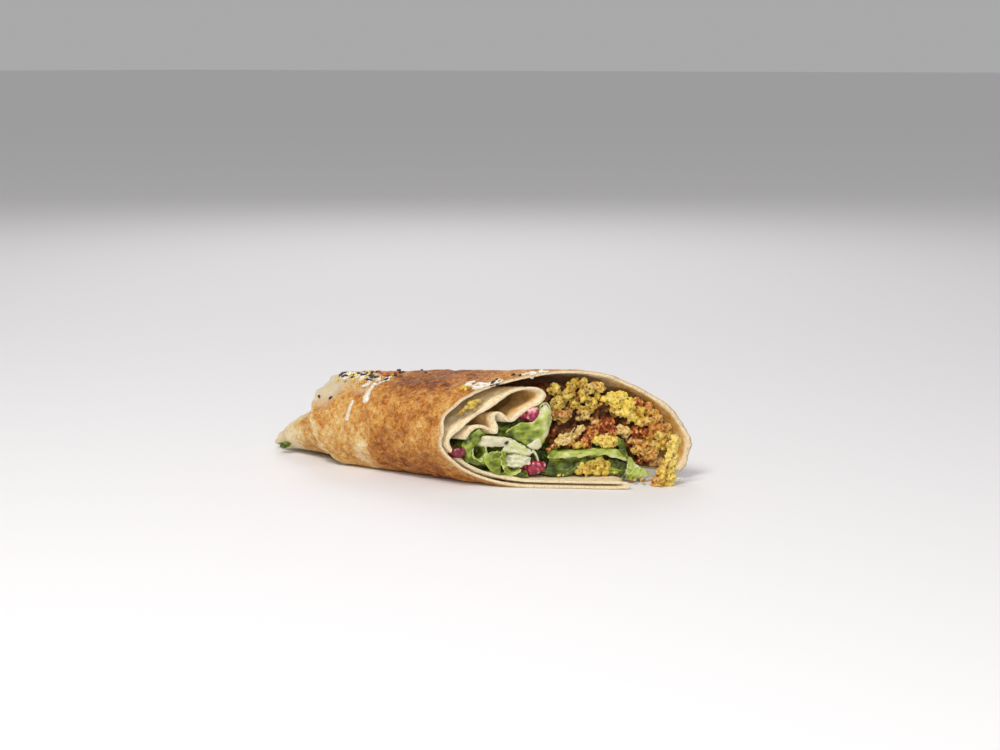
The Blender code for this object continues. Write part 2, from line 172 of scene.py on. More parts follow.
def ripple(points, size, seed, waves=16):
    """Smooth bumps of about this size (in the points' own units), mostly between -1 and 1."""
    random = np.random.default_rng(seed)
    total = np.zeros(points.shape[:-1])
    for _ in range(waves):
        direction = random.normal(size=points.shape[-1])
        direction *= 2 * pi / size * random.uniform(0.6, 1.5) / np.linalg.norm(direction)
        total += np.sin(points @ direction + random.uniform(0, 2 * pi))
    return total / (waves / 2) ** 0.5 * 0.7


def smooth_step(value, start, end):
    share = np.clip((value - start) / (end - start), 0, 1)
    return share * share * (3 - 2 * share)


# ---------------------------------------------------------------- meshes
def deselect():
    bpy.ops.object.select_all(action="DESELECT")


def make(name, points, faces, materials, smooth=True):
    mesh = bpy.data.meshes.new(name)
    mesh.from_pydata(np.asarray(points).reshape(-1, 3).tolist(), [], faces)
    for material in materials:
        mesh.materials.append(material)
    if smooth:
        mesh.shade_smooth()
    piece = bpy.data.objects.new(name, mesh)
    bpy.context.scene.collection.objects.link(piece)
    return piece


def coordinates(piece):
    found = np.empty(len(piece.data.vertices) * 3)
    piece.data.vertices.foreach_get("co", found)
    return found.reshape(-1, 3)


def normals(piece):
    found = np.empty(len(piece.data.vertices) * 3)
    piece.data.vertices.foreach_get("normal", found)
    return found.reshape(-1, 3)


def move_points(piece, points):
    piece.data.vertices.foreach_set("co", np.asarray(points).ravel())
    piece.data.update()


def paint(piece, name, values):
    """A value at each point, which the piece's materials read by name."""
    layer = piece.data.attributes.new(name, "FLOAT", "POINT")
    layer.data.foreach_set("value", np.asarray(values, np.float32).ravel())


def apply_modifier(piece, kind, **settings):
    deselect()
    piece.select_set(True)
    bpy.context.view_layer.objects.active = piece
    modifier = piece.modifiers.new("finish", kind)
    for name, value in settings.items():
        setattr(modifier, name, value)
    bpy.ops.object.modifier_apply(modifier=modifier.name)


def face_out(piece):
    made = bmesh.new()
    made.from_mesh(piece.data)
    bmesh.ops.recalc_face_normals(made, faces=made.faces)
    made.to_mesh(piece.data)
    made.free()


def fuse(piece, voxel, smoothing=0):
    """Melts overlapping lumps into one skin."""
    apply_modifier(piece, "REMESH", mode="VOXEL", voxel_size=voxel * MM, use_smooth_shade=True)
    if smoothing:
        apply_modifier(piece, "SMOOTH", factor=0.5, iterations=smoothing)
    piece.data.shade_smooth()


def roughen(piece, size, height, seed):
    """Raises bumps of this size and height, in millimetres."""
    points = coordinates(piece)
    lift = ripple(points / MM, size, seed)[:, None] * height * MM
    move_points(piece, points + normals(piece) * lift)


def finish_piece(piece, slot, *nodes):
    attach(piece, "root")
    if nodes:
        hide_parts(*nodes)
    return piece


def grid_faces(rows, columns, start=0, flip=False, closed=False):
    """Faces of a grid of points stored row by row; closed joins the last column to the first."""
    faces = []
    for r in range(rows - 1):
        for c in range(columns if closed else columns - 1):
            n = (c + 1) % columns
            a, b = start + r * columns + c, start + r * columns + n
            face = (a, b, b + columns, a + columns)
            faces.append(face[::-1] if flip else face)
    return faces


def slab(name, front, back, materials, edge_material=0):
    """A closed layer between two grids of points of the same shape."""
    rows, columns = front.shape[:2]
    size = rows * columns
    faces = grid_faces(rows, columns) + grid_faces(rows, columns, size, flip=True)
    rim = (
        [c for c in range(columns)]
        + [r * columns + columns - 1 for r in range(1, rows)]
        + [(rows - 1) * columns + c for c in range(columns - 2, -1, -1)]
        + [r * columns for r in range(rows - 2, 0, -1)]
    )
    first_edge = len(faces)
    for a, b in zip(rim, rim[1:] + rim[:1]):
        faces.append((b, a, a + size, b + size))
    piece = make(name, np.concatenate((front.reshape(-1, 3), back.reshape(-1, 3))), faces, materials)
    for polygon in piece.data.polygons[first_edge:]:
        polygon.material_index = edge_material
    return piece


# ---------------------------------------------------------------- materials
def colour(red, green, blue):
    """A linear colour from the red, green and blue of a colour chart, each 0 to 255."""
    parts = [v / 255 for v in (red, green, blue)]
    return (*(v / 12.92 if v <= 0.04045 else ((v + 0.055) / 1.055) ** 2.4 for v in parts), 1.0)


def add(tree, kind, settings=None, **inputs):
    """A node with these settings; an input is a value, or the socket that feeds it."""
    node = tree.nodes.new(kind)
    for name, value in (settings or {}).items():
        setattr(node, name, value)
    for name, value in inputs.items():
        socket = node.inputs[int(name[1:])] if name[0] == "i" and name[1:].isdigit() else node.inputs[name.replace("_", " ")]
        if isinstance(value, bpy.types.NodeSocket):
            tree.links.new(value, socket)
        else:
            socket.default_value = value
    return node


def maths(tree, operation, a, b=0.0, clamp=False):
    return add(tree, "ShaderNodeMath", {"operation": operation, "use_clamp": clamp}, i0=a, i1=b).outputs[0]


def ramp(tree, factor, *stops):
    """Colours or greys along a factor: each stop is a position and a colour or a grey."""
    node = add(tree, "ShaderNodeValToRGB", Fac=factor)
    elements = node.color_ramp.elements
    while len(elements) < len(stops):
        elements.new(0.5)
    for element, (position, value) in zip(elements, stops):
        element.position = position
        element.color = value if isinstance(value, tuple) else (value, value, value, 1)
    return node.outputs["Color"]


def blend_colour(tree, factor, a, b, mode="MIX"):
    node = tree.nodes.new("ShaderNodeMix")
    node.data_type = "RGBA"
    node.blend_type = mode
    for socket, value in ((node.inputs[0], factor), (node.inputs[6], a), (node.inputs[7], b)):
        if isinstance(value, bpy.types.NodeSocket):
            tree.links.new(value, socket)
        else:
            socket.default_value = value
    return node.outputs[2]


def painted(tree, name):
    return add(tree, "ShaderNodeAttribute", {"attribute_name": name}).outputs["Fac"]


def grain_group():
    """Mottling at three sizes: broad patches, spots and fine grain, with a height for the bump."""
    group = bpy.data.node_groups.new("toasted_grain", "ShaderNodeTree")
    for name, value in (("Patch", 90.0), ("Spot", 420.0), ("Fine", 1500.0)):
        group.interface.new_socket(name, in_out="INPUT", socket_type="NodeSocketFloat").default_value = value
    for name in ("Patches", "Spots", "Grain", "Height"):
        group.interface.new_socket(name, in_out="OUTPUT", socket_type="NodeSocketFloat")
    given, out = group.nodes.new("NodeGroupInput"), group.nodes.new("NodeGroupOutput")
    where = group.nodes.new("ShaderNodeTexCoord").outputs["Object"]
    patches = add(group, "ShaderNodeTexNoise", Vector=where, Scale=given.outputs["Patch"], Detail=3.0, Roughness=0.6)
    spots = add(
        group, "ShaderNodeTexNoise", Vector=where, Scale=given.outputs["Spot"], Detail=4.0, Roughness=0.7, Distortion=0.1
    )
    fine = add(group, "ShaderNodeTexNoise", Vector=where, Scale=given.outputs["Fine"], Detail=2.0, Roughness=0.5)
    height = maths(group, "ADD", maths(group, "MULTIPLY", spots.outputs[0], 0.7), maths(group, "MULTIPLY", fine.outputs[0], 0.3))
    for name, socket in (
        ("Patches", patches.outputs[0]), ("Spots", spots.outputs[0]), ("Grain", fine.outputs[0]), ("Height", height)
    ):
        group.links.new(socket, out.inputs[name])
    return group


GRAIN = grain_group()


def new_material(name, roughness=0.6, subsurface=0.0, radius=(0.004, 0.002, 0.001), coat=0.0, specular=0.4):
    material = bpy.data.materials.new(name)
    material.use_nodes = True
    tree = material.node_tree
    shader = tree.nodes["Principled BSDF"]
    shader.inputs["Roughness"].default_value = roughness
    shader.inputs["Specular IOR Level"].default_value = specular
    shader.inputs["Subsurface Weight"].default_value = subsurface
    shader.inputs["Subsurface Radius"].default_value = tuple(r * 1000 for r in radius)
    shader.inputs["Subsurface Scale"].default_value = MM
    shader.inputs["Coat Weight"].default_value = coat
    shader.inputs["Coat Roughness"].default_value = 0.25
    return material, tree, shader


def use_grain(tree, patch, spot_size, fine):
    node = tree.nodes.new("ShaderNodeGroup")
    node.node_tree = GRAIN
    node.inputs["Patch"].default_value = patch
    node.inputs["Spot"].default_value = spot_size
    node.inputs["Fine"].default_value = fine
    return node.outputs


def raise_bumps(tree, shader, height, distance, strength=1.0):
    bump = add(tree, "ShaderNodeBump", Strength=strength, Distance=distance * MM, Height=height)
    tree.links.new(bump.outputs[0], shader.inputs["Normal"])


def toasted_crust():
    """The outer side of the flatbread: tan where it is bare, orange-brown where it met the grill, darker on top where
    painted shade stands for the shadow of the roll's other half.
    """
    material, tree, shader = new_material("toasted_crust", roughness=0.62, specular=0.22)
    grain = use_grain(tree, 150.0, 480.0, 1900.0)
    toast = painted(tree, "toast")
    spots = maths(tree, "MULTIPLY", maths(tree, "SUBTRACT", grain["Spots"], 0.5), 1.25)
    fine = maths(tree, "MULTIPLY", maths(tree, "SUBTRACT", grain["Grain"], 0.5), 0.6)
    patches = maths(tree, "MULTIPLY", maths(tree, "SUBTRACT", grain["Patches"], 0.5), 0.5)
    level = maths(tree, "ADD", maths(tree, "ADD", toast, spots), maths(tree, "ADD", patches, fine), clamp=True)
    browned = ramp(
        tree, level,
        (0.0, colour(228, 208, 170)), (0.2, colour(214, 180, 118)), (0.4, colour(200, 148, 74)),
        (0.58, colour(180, 114, 44)), (0.78, colour(136, 74, 26)), (1.0, colour(78, 40, 14)),
    )
    film = painted(tree, "film")
    floury = maths(tree, "MULTIPLY", film, ramp(tree, grain["Spots"], (0.32, 0.55), (0.6, 1.0)), clamp=True)
    tree.links.new(blend_colour(tree, floury, browned, colour(200, 190, 166)), shader.inputs["Base Color"])
    raise_bumps(tree, shader, grain["Height"], 0.3, 0.7)
    return material


def pale_bread():
    """The inner side: cream, with yellow-brown flecks and oil stains, and painted shade: darker inside the pleat's fold
    and further behind the cut.
    """
    material, tree, shader = new_material("pale_bread", roughness=0.55, subsurface=0.12, specular=0.3)
    grain = use_grain(tree, 130.0, 520.0, 1700.0)
    base = ramp(
        tree, grain["Spots"],
        (0.28, colour(242, 230, 200)), (0.5, colour(238, 220, 182)), (0.62, colour(226, 198, 148)),
        (0.78, colour(204, 160, 96)),
    )
    oily = ramp(tree, grain["Spots"], (0.3, colour(206, 162, 84)), (0.55, colour(186, 136, 54)), (0.75, colour(150, 98, 36)))
    oiled = blend_colour(tree, painted(tree, "oil"), base, oily)
    shaded = blend_colour(tree, painted(tree, "shade"), oiled, colour(106, 72, 26))
    tree.links.new(shaded, shader.inputs["Base Color"])
    raise_bumps(tree, shader, grain["Height"], 0.2, 0.6)
    return material


def cut_bread():
    """The cut edge of the sheet: cream crumb with small pores, tan at the crust."""
    material, tree, shader = new_material("cut_bread", roughness=0.75, subsurface=0.15, specular=0.2)
    grain = use_grain(tree, 260.0, 1300.0, 2600.0)
    crumb = ramp(
        tree, grain["Spots"],
        (0.3, colour(176, 142, 92)), (0.42, colour(220, 198, 158)), (0.6, colour(236, 222, 192)),
        (0.75, colour(222, 196, 150)),
    )
    crust = ramp(tree, grain["Patches"], (0.35, colour(196, 158, 104)), (0.6, colour(158, 112, 62)))
    near_crust = ramp(tree, painted(tree, "crust_side"), (0.55, 0.0), (1.0, 0.85))
    tree.links.new(blend_colour(tree, near_crust, crumb, crust), shader.inputs["Base Color"])
    raise_bumps(tree, shader, grain["Height"], 0.2, 0.8)
    return material


def falafel_crumb():
    """Yellow chickpea crumb that turns golden, then red-brown, with crust; darkened by painted shade in the gaps and
    behind the cut.
    """
    material, tree, shader = new_material("falafel_crumb", roughness=0.65, subsurface=0.05, specular=0.3)
    grain = use_grain(tree, 260.0, 900.0, 2200.0)
    spots = maths(tree, "MULTIPLY", maths(tree, "SUBTRACT", grain["Spots"], 0.5), 0.55)
    fine = maths(tree, "MULTIPLY", maths(tree, "SUBTRACT", grain["Grain"], 0.5), 0.3)
    level = maths(tree, "ADD", maths(tree, "ADD", painted(tree, "crust"), spots), fine, clamp=True)
    fried = ramp(
        tree, level,
        (0.0, colour(238, 212, 96)), (0.2, colour(212, 176, 58)), (0.4, colour(192, 140, 44)),
        (0.58, colour(196, 108, 34)), (0.76, colour(152, 58, 22)), (1.0, colour(82, 32, 12)),
    )
    pale = blend_colour(tree, painted(tree, "pale"), fried, colour(236, 216, 160))
    # depth is painted shade: darker further behind the cut, in hollows and under the overhanging bread.
    deep = blend_colour(tree, painted(tree, "depth"), pale, colour(66, 40, 8))
    tree.links.new(deep, shader.inputs["Base Color"])
    raise_bumps(tree, shader, grain["Height"], 0.25, 0.9)
    return material


def lettuce_leaf():
    """Bright green leaf, paler towards its edge and along its veins."""
    material, tree, shader = new_material(
        "lettuce_leaf", roughness=0.42, subsurface=0.3, radius=(0.0015, 0.0025, 0.0008), coat=0.1, specular=0.4
    )
    grain = use_grain(tree, 150.0, 520.0, 1600.0)
    mottle = maths(tree, "MULTIPLY", maths(tree, "SUBTRACT", grain["Spots"], 0.5), 0.34)
    shade = maths(tree, "ADD", painted(tree, "pale"), mottle, clamp=True)
    green = ramp(
        tree, shade,
        (0.0, colour(54, 66, 8)), (0.2, colour(104, 118, 22)), (0.42, colour(152, 166, 54)),
        (0.66, colour(186, 196, 106)), (0.85, colour(206, 210, 150)), (1.0, colour(220, 220, 186)),
    )
    tree.links.new(green, shader.inputs["Base Color"])
    height = maths(tree, "ADD", painted(tree, "vein"), maths(tree, "MULTIPLY", grain["Spots"], 0.5))
    raise_bumps(tree, shader, height, 0.35, 0.6)
    return material


def pale_stalk():
    """White rib and cabbage: moist, faintly green."""
    material, tree, shader = new_material(
        "pale_stalk", roughness=0.32, subsurface=0.3, radius=(0.003, 0.003, 0.002), coat=0.2, specular=0.5
    )
    grain = use_grain(tree, 150.0, 620.0, 1700.0)
    flesh = ramp(
        tree, grain["Patches"],
        (0.32, colour(194, 184, 146)), (0.46, colour(212, 206, 176)), (0.68, colour(224, 220, 198)),
    )
    tinted = blend_colour(tree, painted(tree, "green"), flesh, colour(196, 208, 128))
    tree.links.new(tinted, shader.inputs["Base Color"])
    raise_bumps(tree, shader, grain["Height"], 0.2, 0.4)
    return material


def pickled_turnip():
    """Crimson pickled turnip, wet, paler where the brine hasn't reached."""
    material, tree, shader = new_material(
        "pickled_turnip", roughness=0.28, subsurface=0.2, radius=(0.003, 0.001, 0.0012), coat=0.4, specular=0.5
    )
    grain = use_grain(tree, 300.0, 900.0, 2000.0)
    mottle = maths(tree, "MULTIPLY", maths(tree, "SUBTRACT", grain["Spots"], 0.5), 0.8)
    stain = maths(tree, "ADD", painted(tree, "stain"), mottle, clamp=True)
    pink = ramp(
        tree, stain,
        (0.15, colour(104, 8, 24)), (0.4, colour(150, 22, 50)), (0.62, colour(182, 62, 92)), (0.8, colour(206, 122, 138)),
        (1.0, colour(224, 184, 180)),
    )
    tree.links.new(pink, shader.inputs["Base Color"])
    raise_bumps(tree, shader, grain["Height"], 0.2, 0.5)
    return material


def white_sauce():
    """Thick white sauce with a few flecks."""
    material, tree, shader = new_material(
        "white_sauce", roughness=0.25, subsurface=0.25, radius=(0.003, 0.0025, 0.002), coat=0.3, specular=0.5
    )
    grain = use_grain(tree, 200.0, 800.0, 2000.0)
    cream = ramp(
        tree, grain["Patches"],
        (0.3, colour(198, 178, 142)), (0.48, colour(216, 202, 178)), (0.66, colour(230, 220, 204)),
    )
    tree.links.new(cream, shader.inputs["Base Color"])
    raise_bumps(tree, shader, grain["Height"], 0.12, 0.4)
    return material


def black_seed():
    """Nigella: nearly black, dull, wrinkled."""
    material, tree, shader = new_material("black_seed", roughness=0.5, specular=0.5)
    grain = use_grain(tree, 300.0, 1200.0, 3000.0)
    black = ramp(tree, grain["Spots"], (0.3, colour(22, 19, 20)), (0.75, colour(64, 58, 58)))
    tree.links.new(black, shader.inputs["Base Color"])
    raise_bumps(tree, shader, grain["Height"], 0.2, 0.8)
    return material


CRUST, BREAD_INSIDE, BREAD_CUT = toasted_crust(), pale_bread(), cut_bread()
CRUMB, LEAF, STALK = falafel_crumb(), lettuce_leaf(), pale_stalk()
TURNIP, SAUCE, SEED = pickled_turnip(), white_sauce(), black_seed()


# ---------------------------------------------------------------- the flatbread
PATH_STEP = 1.0
EASED = 5  # rounds of easing for the pleat's bends
OUTER_SHEET, INNER_SHEET = 1.45, 1.15  # baked thickness of the outer turn and of the softer turn inside
EDGE_WAVE, EDGE_CRUMB = 0.7, 0.22  # how far the cut edge strays, in millimetres
RIM_RAG = 1.3
WRINKLE, DIMPLE = 0.45, 0.16


def seam_shift(y, t):
    """The flat bottom reaches further across the roll behind the cut, where the seam is shut."""
    closing = smooth_step(t, 0, SEAM_CLOSED_T)
    reach = LIP_Y + (SEAM_CLOSED_Y - LIP_Y) * closing
    moved = BOTTOM_START_Y + (y - BOTTOM_START_Y) * (reach - BOTTOM_START_Y) / (LIP_Y - BOTTOM_START_Y)
    return np.where(y > BOTTOM_START_Y, moved, y)


def sheet_path():
    """The middle of the sheet across the cut, and where its bottom starts, turns back and ends."""
    low, high = SHEET / 2, SHEET / 2 + 2 * FOLD_RADIUS
    wall = curve(WALL, PATH_STEP)
    bottom = curve(((BOTTOM_START_Y, low), (LIP_Y, low)), PATH_STEP)[1:]
    turn = np.linspace(0, pi, 8)[1:-1]
    fold = np.stack((LIP_Y + FOLD_RADIUS * np.sin(turn), low + FOLD_RADIUS * (1 - np.cos(turn))), axis=-1)
    back = curve(((LIP_Y, high), (BOTTOM_START_Y, INNER_WALL[0][1])), PATH_STEP)[:-1]
    inner = relax(curve(INNER_WALL + PLEAT, PATH_STEP), EASED)
    first = len(wall)
    turned = first + len(bottom)
    ended = turned + len(fold) + len(back)
    return np.concatenate((wall, bottom, fold, back, inner)), first, turned, ended


def stations():
    return np.concatenate((np.linspace(0, 0.12, 16), np.linspace(0.12, 0.9, 50)[1:], np.linspace(0.9, 1, 12)[1:]))


def eased_steps(values):
    return np.convolve(np.pad(values, 4, mode="edge"), np.ones(9) / 9, mode="valid")


def flatbread():
    path, first, turned, ended = sheet_path()
    index = np.arange(len(path))
    side_way = across(path)
    length = np.concatenate(((0,), np.cumsum(np.linalg.norm(np.diff(path, axis=0), axis=1))))
    reach = 1 + (INNER_TURN_END - 1) * smooth_step(index, turned, turned + 5)
    level = stations()[:, None]
    on_bottom = (index >= first) & (index < ended)
    outer_half = eased_steps(np.where(index < turned, SHEET / 2, INNER_SHEET / 2))
    inner_half = eased_steps(np.where(index < turned, OUTER_SHEET - SHEET / 2, INNER_SHEET / 2))
    lipped = on_bottom | ((path[:, 1] < 8) & (path[:, 0] > LIP_START_Y) & (path[:, 0] < 0))
    edge_points = np.stack((length, length * 0), axis=-1)
    stray = EDGE_WAVE * ripple(edge_points, 14, 8) + EDGE_CRUMB * ripple(edge_points, 2.6, 9)
    rag = RIM_RAG * ripple(edge_points, 11, 10) + 0.25 * ripple(edge_points, 4, 11)
    t = level * reach
    t = t + np.where(reach > 0.99, rag / 130, 0) * smooth_step(level, 0.9, 1)

    def layer(depth, t, swell, forward):
        """The sheet at a depth from its outer side (0) to its inner side (1)."""
        offset = (-outer_half + (outer_half + inner_half) * depth + swell)[..., None]
        y, z = np.moveaxis(path + side_way * offset, -1, 0)
        z = np.maximum(z, 0.02)
        shifted = np.where(on_bottom, seam_shift(y, t), y)
        lip = np.where(lipped, np.clip(LIP_RUN * (y - LIP_START_Y), 0, None), 0)
        return place(shifted, z, t, lip + stray + forward)

    sides = []
    for depth in (0, 1):
        where = np.stack(np.broadcast_arrays(length, level * 130, depth * 30.0), axis=-1)
        swell = (DIMPLE + 0.05 * depth) * ripple(where, 4.5, 4 + depth) + 0.06 * ripple(where, 2.2, 14 + depth)
        if depth == 0:
            swell = swell - WRINKLE * ripple(where, 17, 3)
        swell = swell * np.where(on_bottom, 0.15, 1.0) * smooth_step(level, 0.0, 0.04)
        sides.append(layer(depth, t, swell, 0.0))
    cut, rim = [], []
    for number, depth in enumerate((0.12, 0.37, 0.63, 0.88)):
        rough = ripple(np.stack((length, length * 0 + number * 5), axis=-1), 1.5, 15 + number)
        bulge = 0.18 if 0.2 < depth < 0.8 else 0.1
        cut.append(layer(depth, t[:1], 0.0, bulge + 0.16 * rough)[0])
        rim.append(layer(depth, t[-1:], 0.0, -0.2 * rough)[0])
    grid = np.array([*sides[0][::-1], *cut, *sides[1], *rim[::-1]])
    rows, columns = grid.shape[:2]
    count, edge = len(level), len(cut)
    faces, kinds = [], []
    for r in range(rows):
        n = (r + 1) % rows
        for c in range(columns - 1):
            faces.append((r * columns + c, r * columns + c + 1, n * columns + c + 1, n * columns + c))
            if r < count - 1:
                kinds.append(0 if c < turned else 1)
            else:
                kinds.append(1 if count + edge <= r < 2 * count + edge - 1 else 2)
    mirrored = 2 * count + edge - 1
    for c, flip in ((0, False), (columns - 1, True)):
        pairs = [(k, mirrored - k) for k in range(count + edge // 2)]
        pairs.insert(0, (rows - 1, mirrored + 1))
        pairs.insert(0, (rows - 2, mirrored + 2))
        for (a, b), (next_a, next_b) in zip(pairs, pairs[1:]):
            face = tuple(k * columns + c for k in (a, next_a, next_b, b))
            faces.append(face[::-1] if flip else face)
            kinds.append(2)
    piece = make("flatbread_sheet", grid, faces, (CRUST, BREAD_INSIDE, BREAD_CUT))
    for polygon, kind in zip(piece.data.polygons, kinds):
        polygon.material_index = kind
    face_out(piece)
    depths = np.concatenate((np.zeros(count), (0.1, 0.3, 0.6, 0.9), np.ones(count), (0.9, 0.6, 0.3, 0.1)))
    levels = np.concatenate((level[::-1, 0], np.zeros(edge), level[:, 0], np.ones(edge)))
    inside_turn = np.tile(index >= turned, rows)
    paint_bread(piece, np.repeat(levels, columns), np.repeat(depths, columns), inside_turn)
    return finish_piece(piece, "bread", "flatbread")


def near(points, centre, size):
    """1 at a place on the roll, fading out to 0 at this size, in millimetres."""
    offset = (points - row(*centre)) / (np.asarray(size) * MM)
    return smooth_step(np.linalg.norm(offset, axis=1), 1, 0.25)


def paint_bread(piece, level, depth, inside_turn):
    points = coordinates(piece)
    local = (points - ORIGIN) / MM
    x, y, z = local.T
    toast = 0.43 + 0.11 * smooth_step(x, 66, 92) + 0.07 * ripple(local, 20, 21) + 0.05 * ripple(local, 8, 22)
    toast += 0.17 * near(points, (90, -38, 12), (22, 20, 18)) + 0.10 * near(points, (92, -28, 46), (34, 20, 12))
    toast -= 0.42 * near(points, (73, -37, 9), (9, 14, 17)) + 0.10 * smooth_step(x, 48, 40)
    toast -= 0.08 * near(points, (125, -36, 14), (16, 14, 14))
    # The broad darkening over the top of the roll, at (98, -14, 50), is painted shade: the shadow of the roll's other
    # half, which isn't built.
    toast += 0.14 * near(points, (112, -38, 4), (26, 16, 7)) + 0.2 * near(points, (98, -14, 50), (56, 34, 13))
    toast -= 0.14 * near(points, (58, -36, 22), (12, 14, 14)) + 0.12 * near(points, (84, -38, 30), (7, 14, 12))
    toast -= 0.25 * smooth_step(level, 0.955, 1.0)
    film = 0.95 * near(points, (45, -29, 38), (14, 18, 16)) + 0.6 * near(points, (60, -22, 45), (20, 12, 8))
    film += 0.25 * near(points, (66, -30, 40), (12, 8, 7)) + 0.1 * ripple(local, 4, 24)
    film += 0.4 * smooth_step(level, 0.975, 1.0)
    forward = x - CUT_X - CUT_RUN * y
    # The oil paint is partly real oil stain (the right wall by the cut, the random ripple) and partly painted shade:
    # where it grows behind the cut on the low left wall, inside the pleat's fold and along the inner turn.
    oil = 0.55 * smooth_step(y, -26, -36) * smooth_step(z, 26, 12) * smooth_step(forward, -0.5, -3) + 0.95 * smooth_step(y, 2, 26) * smooth_step(forward, 0.5, -1.5) + 0.15 * ripple(local, 7, 23)
    loop = inside_turn & (depth < 0.5) & (y > -27) & (z > 27)
    oil += np.where(loop, 0.85 * smooth_step(forward, -0.5, -6), np.where(inside_turn, 0.2 * smooth_step(forward, -2, -14), 0))
    paint(piece, "toast", toast)
    paint(piece, "film", np.clip(film, 0, 1))
    paint(piece, "oil", np.clip(oil, 0, 1))
    paint(piece, "crust_side", np.where(inside_turn, 0.3, 1 - depth))
    paint(piece, "shade", np.where(loop, 0.62 * smooth_step(forward, -3, -12), 0.4 * smooth_step(forward, -10, -34)))


def tail_outline(step):
    wall = curve(WALL, step)
    bottom = curve(((BOTTOM_START_Y, SHEET / 2), (SEAM_CLOSED_Y, SHEET / 2)), step)[1:]
    outline = np.concatenate((wall, bottom))
    low, high = outline.min(axis=0), outline.max(axis=0)
    return np.stack(((2 * outline[:, 0] - low[0] - high[0]) / (high[0] - low[0]), (outline[:, 1] - low[1]) / (high[1] - low[1])), axis=-1)


def tail_turn(name, start, end, inset, seed, closed_tip=False):
    """One turn of the sheet in the tail: a tapering tube with its edge at start."""
    shape = tail_outline(1.4)
    rings = np.array(TAIL_RINGS)
    count = 26
    levels = np.linspace(0, 1, count) ** 1.2
    skins = []
    for skin, thickness in enumerate((0.0, 1.7)):
        points = []
        for level in levels:
            x = start + (end - start) * level
            middle, half, bottom, top = (np.interp(x, rings[:, 0], rings[:, k]) for k in (1, 2, 3, 4))
            half = max(half - inset - thickness, 0.3)
            bottom = bottom + inset * 0.4 + skin * 0.6
            height = max(top - inset * 0.8 - thickness - bottom, 0.3 + 0.1 * (1 - skin))
            ring = np.stack((np.full(len(shape), x), middle + half * shape[:, 0], bottom + height * shape[:, 1]), axis=-1)
            ring[:, 0] += 3.0 * shape[:, 0] * (1 - level) + 3.5 * (1 - shape[:, 1]) * (1 - level)
            edge = 0.7 * ripple(ring, 7, seed) * (1 - level)
            ring[:, 0] += edge
            bump = 0.35 * ripple(ring, 9, seed + 1) + 0.12 * ripple(ring, 3, seed + 2)
            ring[:, 1] += bump * shape[:, 0]
            ring[:, 2] = np.maximum(ring[:, 2] + bump * shape[:, 1], 0.05)
            points.append(ring)
        skins.append(np.array(points))
    rows, columns = skins[0].shape[:2]
    size = rows * columns
    faces = grid_faces(rows, columns, closed=True) + grid_faces(rows, columns, size, flip=True, closed=True)
    kinds = [0] * (len(faces) // 2) + [1] * (len(faces) // 2)
    for c in range(columns):
        n = (c + 1) % columns
        faces.append((n, c, c + size, n + size))
        last = (rows - 1) * columns
        faces.append((last + c, last + n, last + n + size, last + c + size))
        kinds += [2, 2]
    if closed_tip:
        faces.append(tuple(size + c for c in range(columns)))
        kinds.append(1)
    points = np.concatenate([s.reshape(-1, 3) for s in skins]) * MM + ORIGIN
    piece = make(name, points, faces, (CRUST, BREAD_INSIDE, BREAD_CUT))
    for polygon, kind in zip(piece.data.polygons, kinds):
        polygon.material_index = kind
    face_out(piece)
    local = (points - ORIGIN) / MM
    along = local[:, 0] + 2.6 * ripple(local, 9, seed + 4)
    toast = 0.05 + 0.35 * smooth_step(along, 18, 29) - 0.14 * smooth_step(along, 32, 42) + 0.1 * ripple(local, 7, seed)
    toast -= 0.12 * (1 - np.repeat(np.tile(levels, 2), columns)) ** 6
    paint(piece, "toast", toast)
    paint(piece, "film", np.clip(0.3 * smooth_step(along, 22, 10) + 0.2 * ripple(local, 6, seed + 3), 0, 1))
    paint(piece, "oil", 0 * toast)
    paint(piece, "crust_side", 0.4 + 0 * toast)
    paint(piece, "shade", 0 * toast)
    return finish_piece(piece, "bread")


# ---------------------------------------------------------------- falafel
def unit_ball(detail):
    made = bmesh.new()
    bmesh.ops.create_icosphere(made, subdivisions=detail, radius=1)
    points = np.array([v.co for v in made.verts])
    faces = np.array([[v.index for v in f.verts] for f in made.faces])
    made.free()
    return points, faces


def balls(centres, sizes, detail=1):
    """Points and faces of one ball at each centre; sizes are radii or three half widths."""
    ball, ball_faces = unit_ball(detail)
    sizes = np.asarray(sizes, float)
    if sizes.ndim == 1:
        sizes = sizes[:, None]
    points = centres[:, None, :] + ball[None] * sizes[:, None, :]
    faces = ball_faces[None] + (np.arange(len(centres)) * len(ball))[:, None, None]
    return points.reshape(-1, 3), faces.reshape(-1, 3)


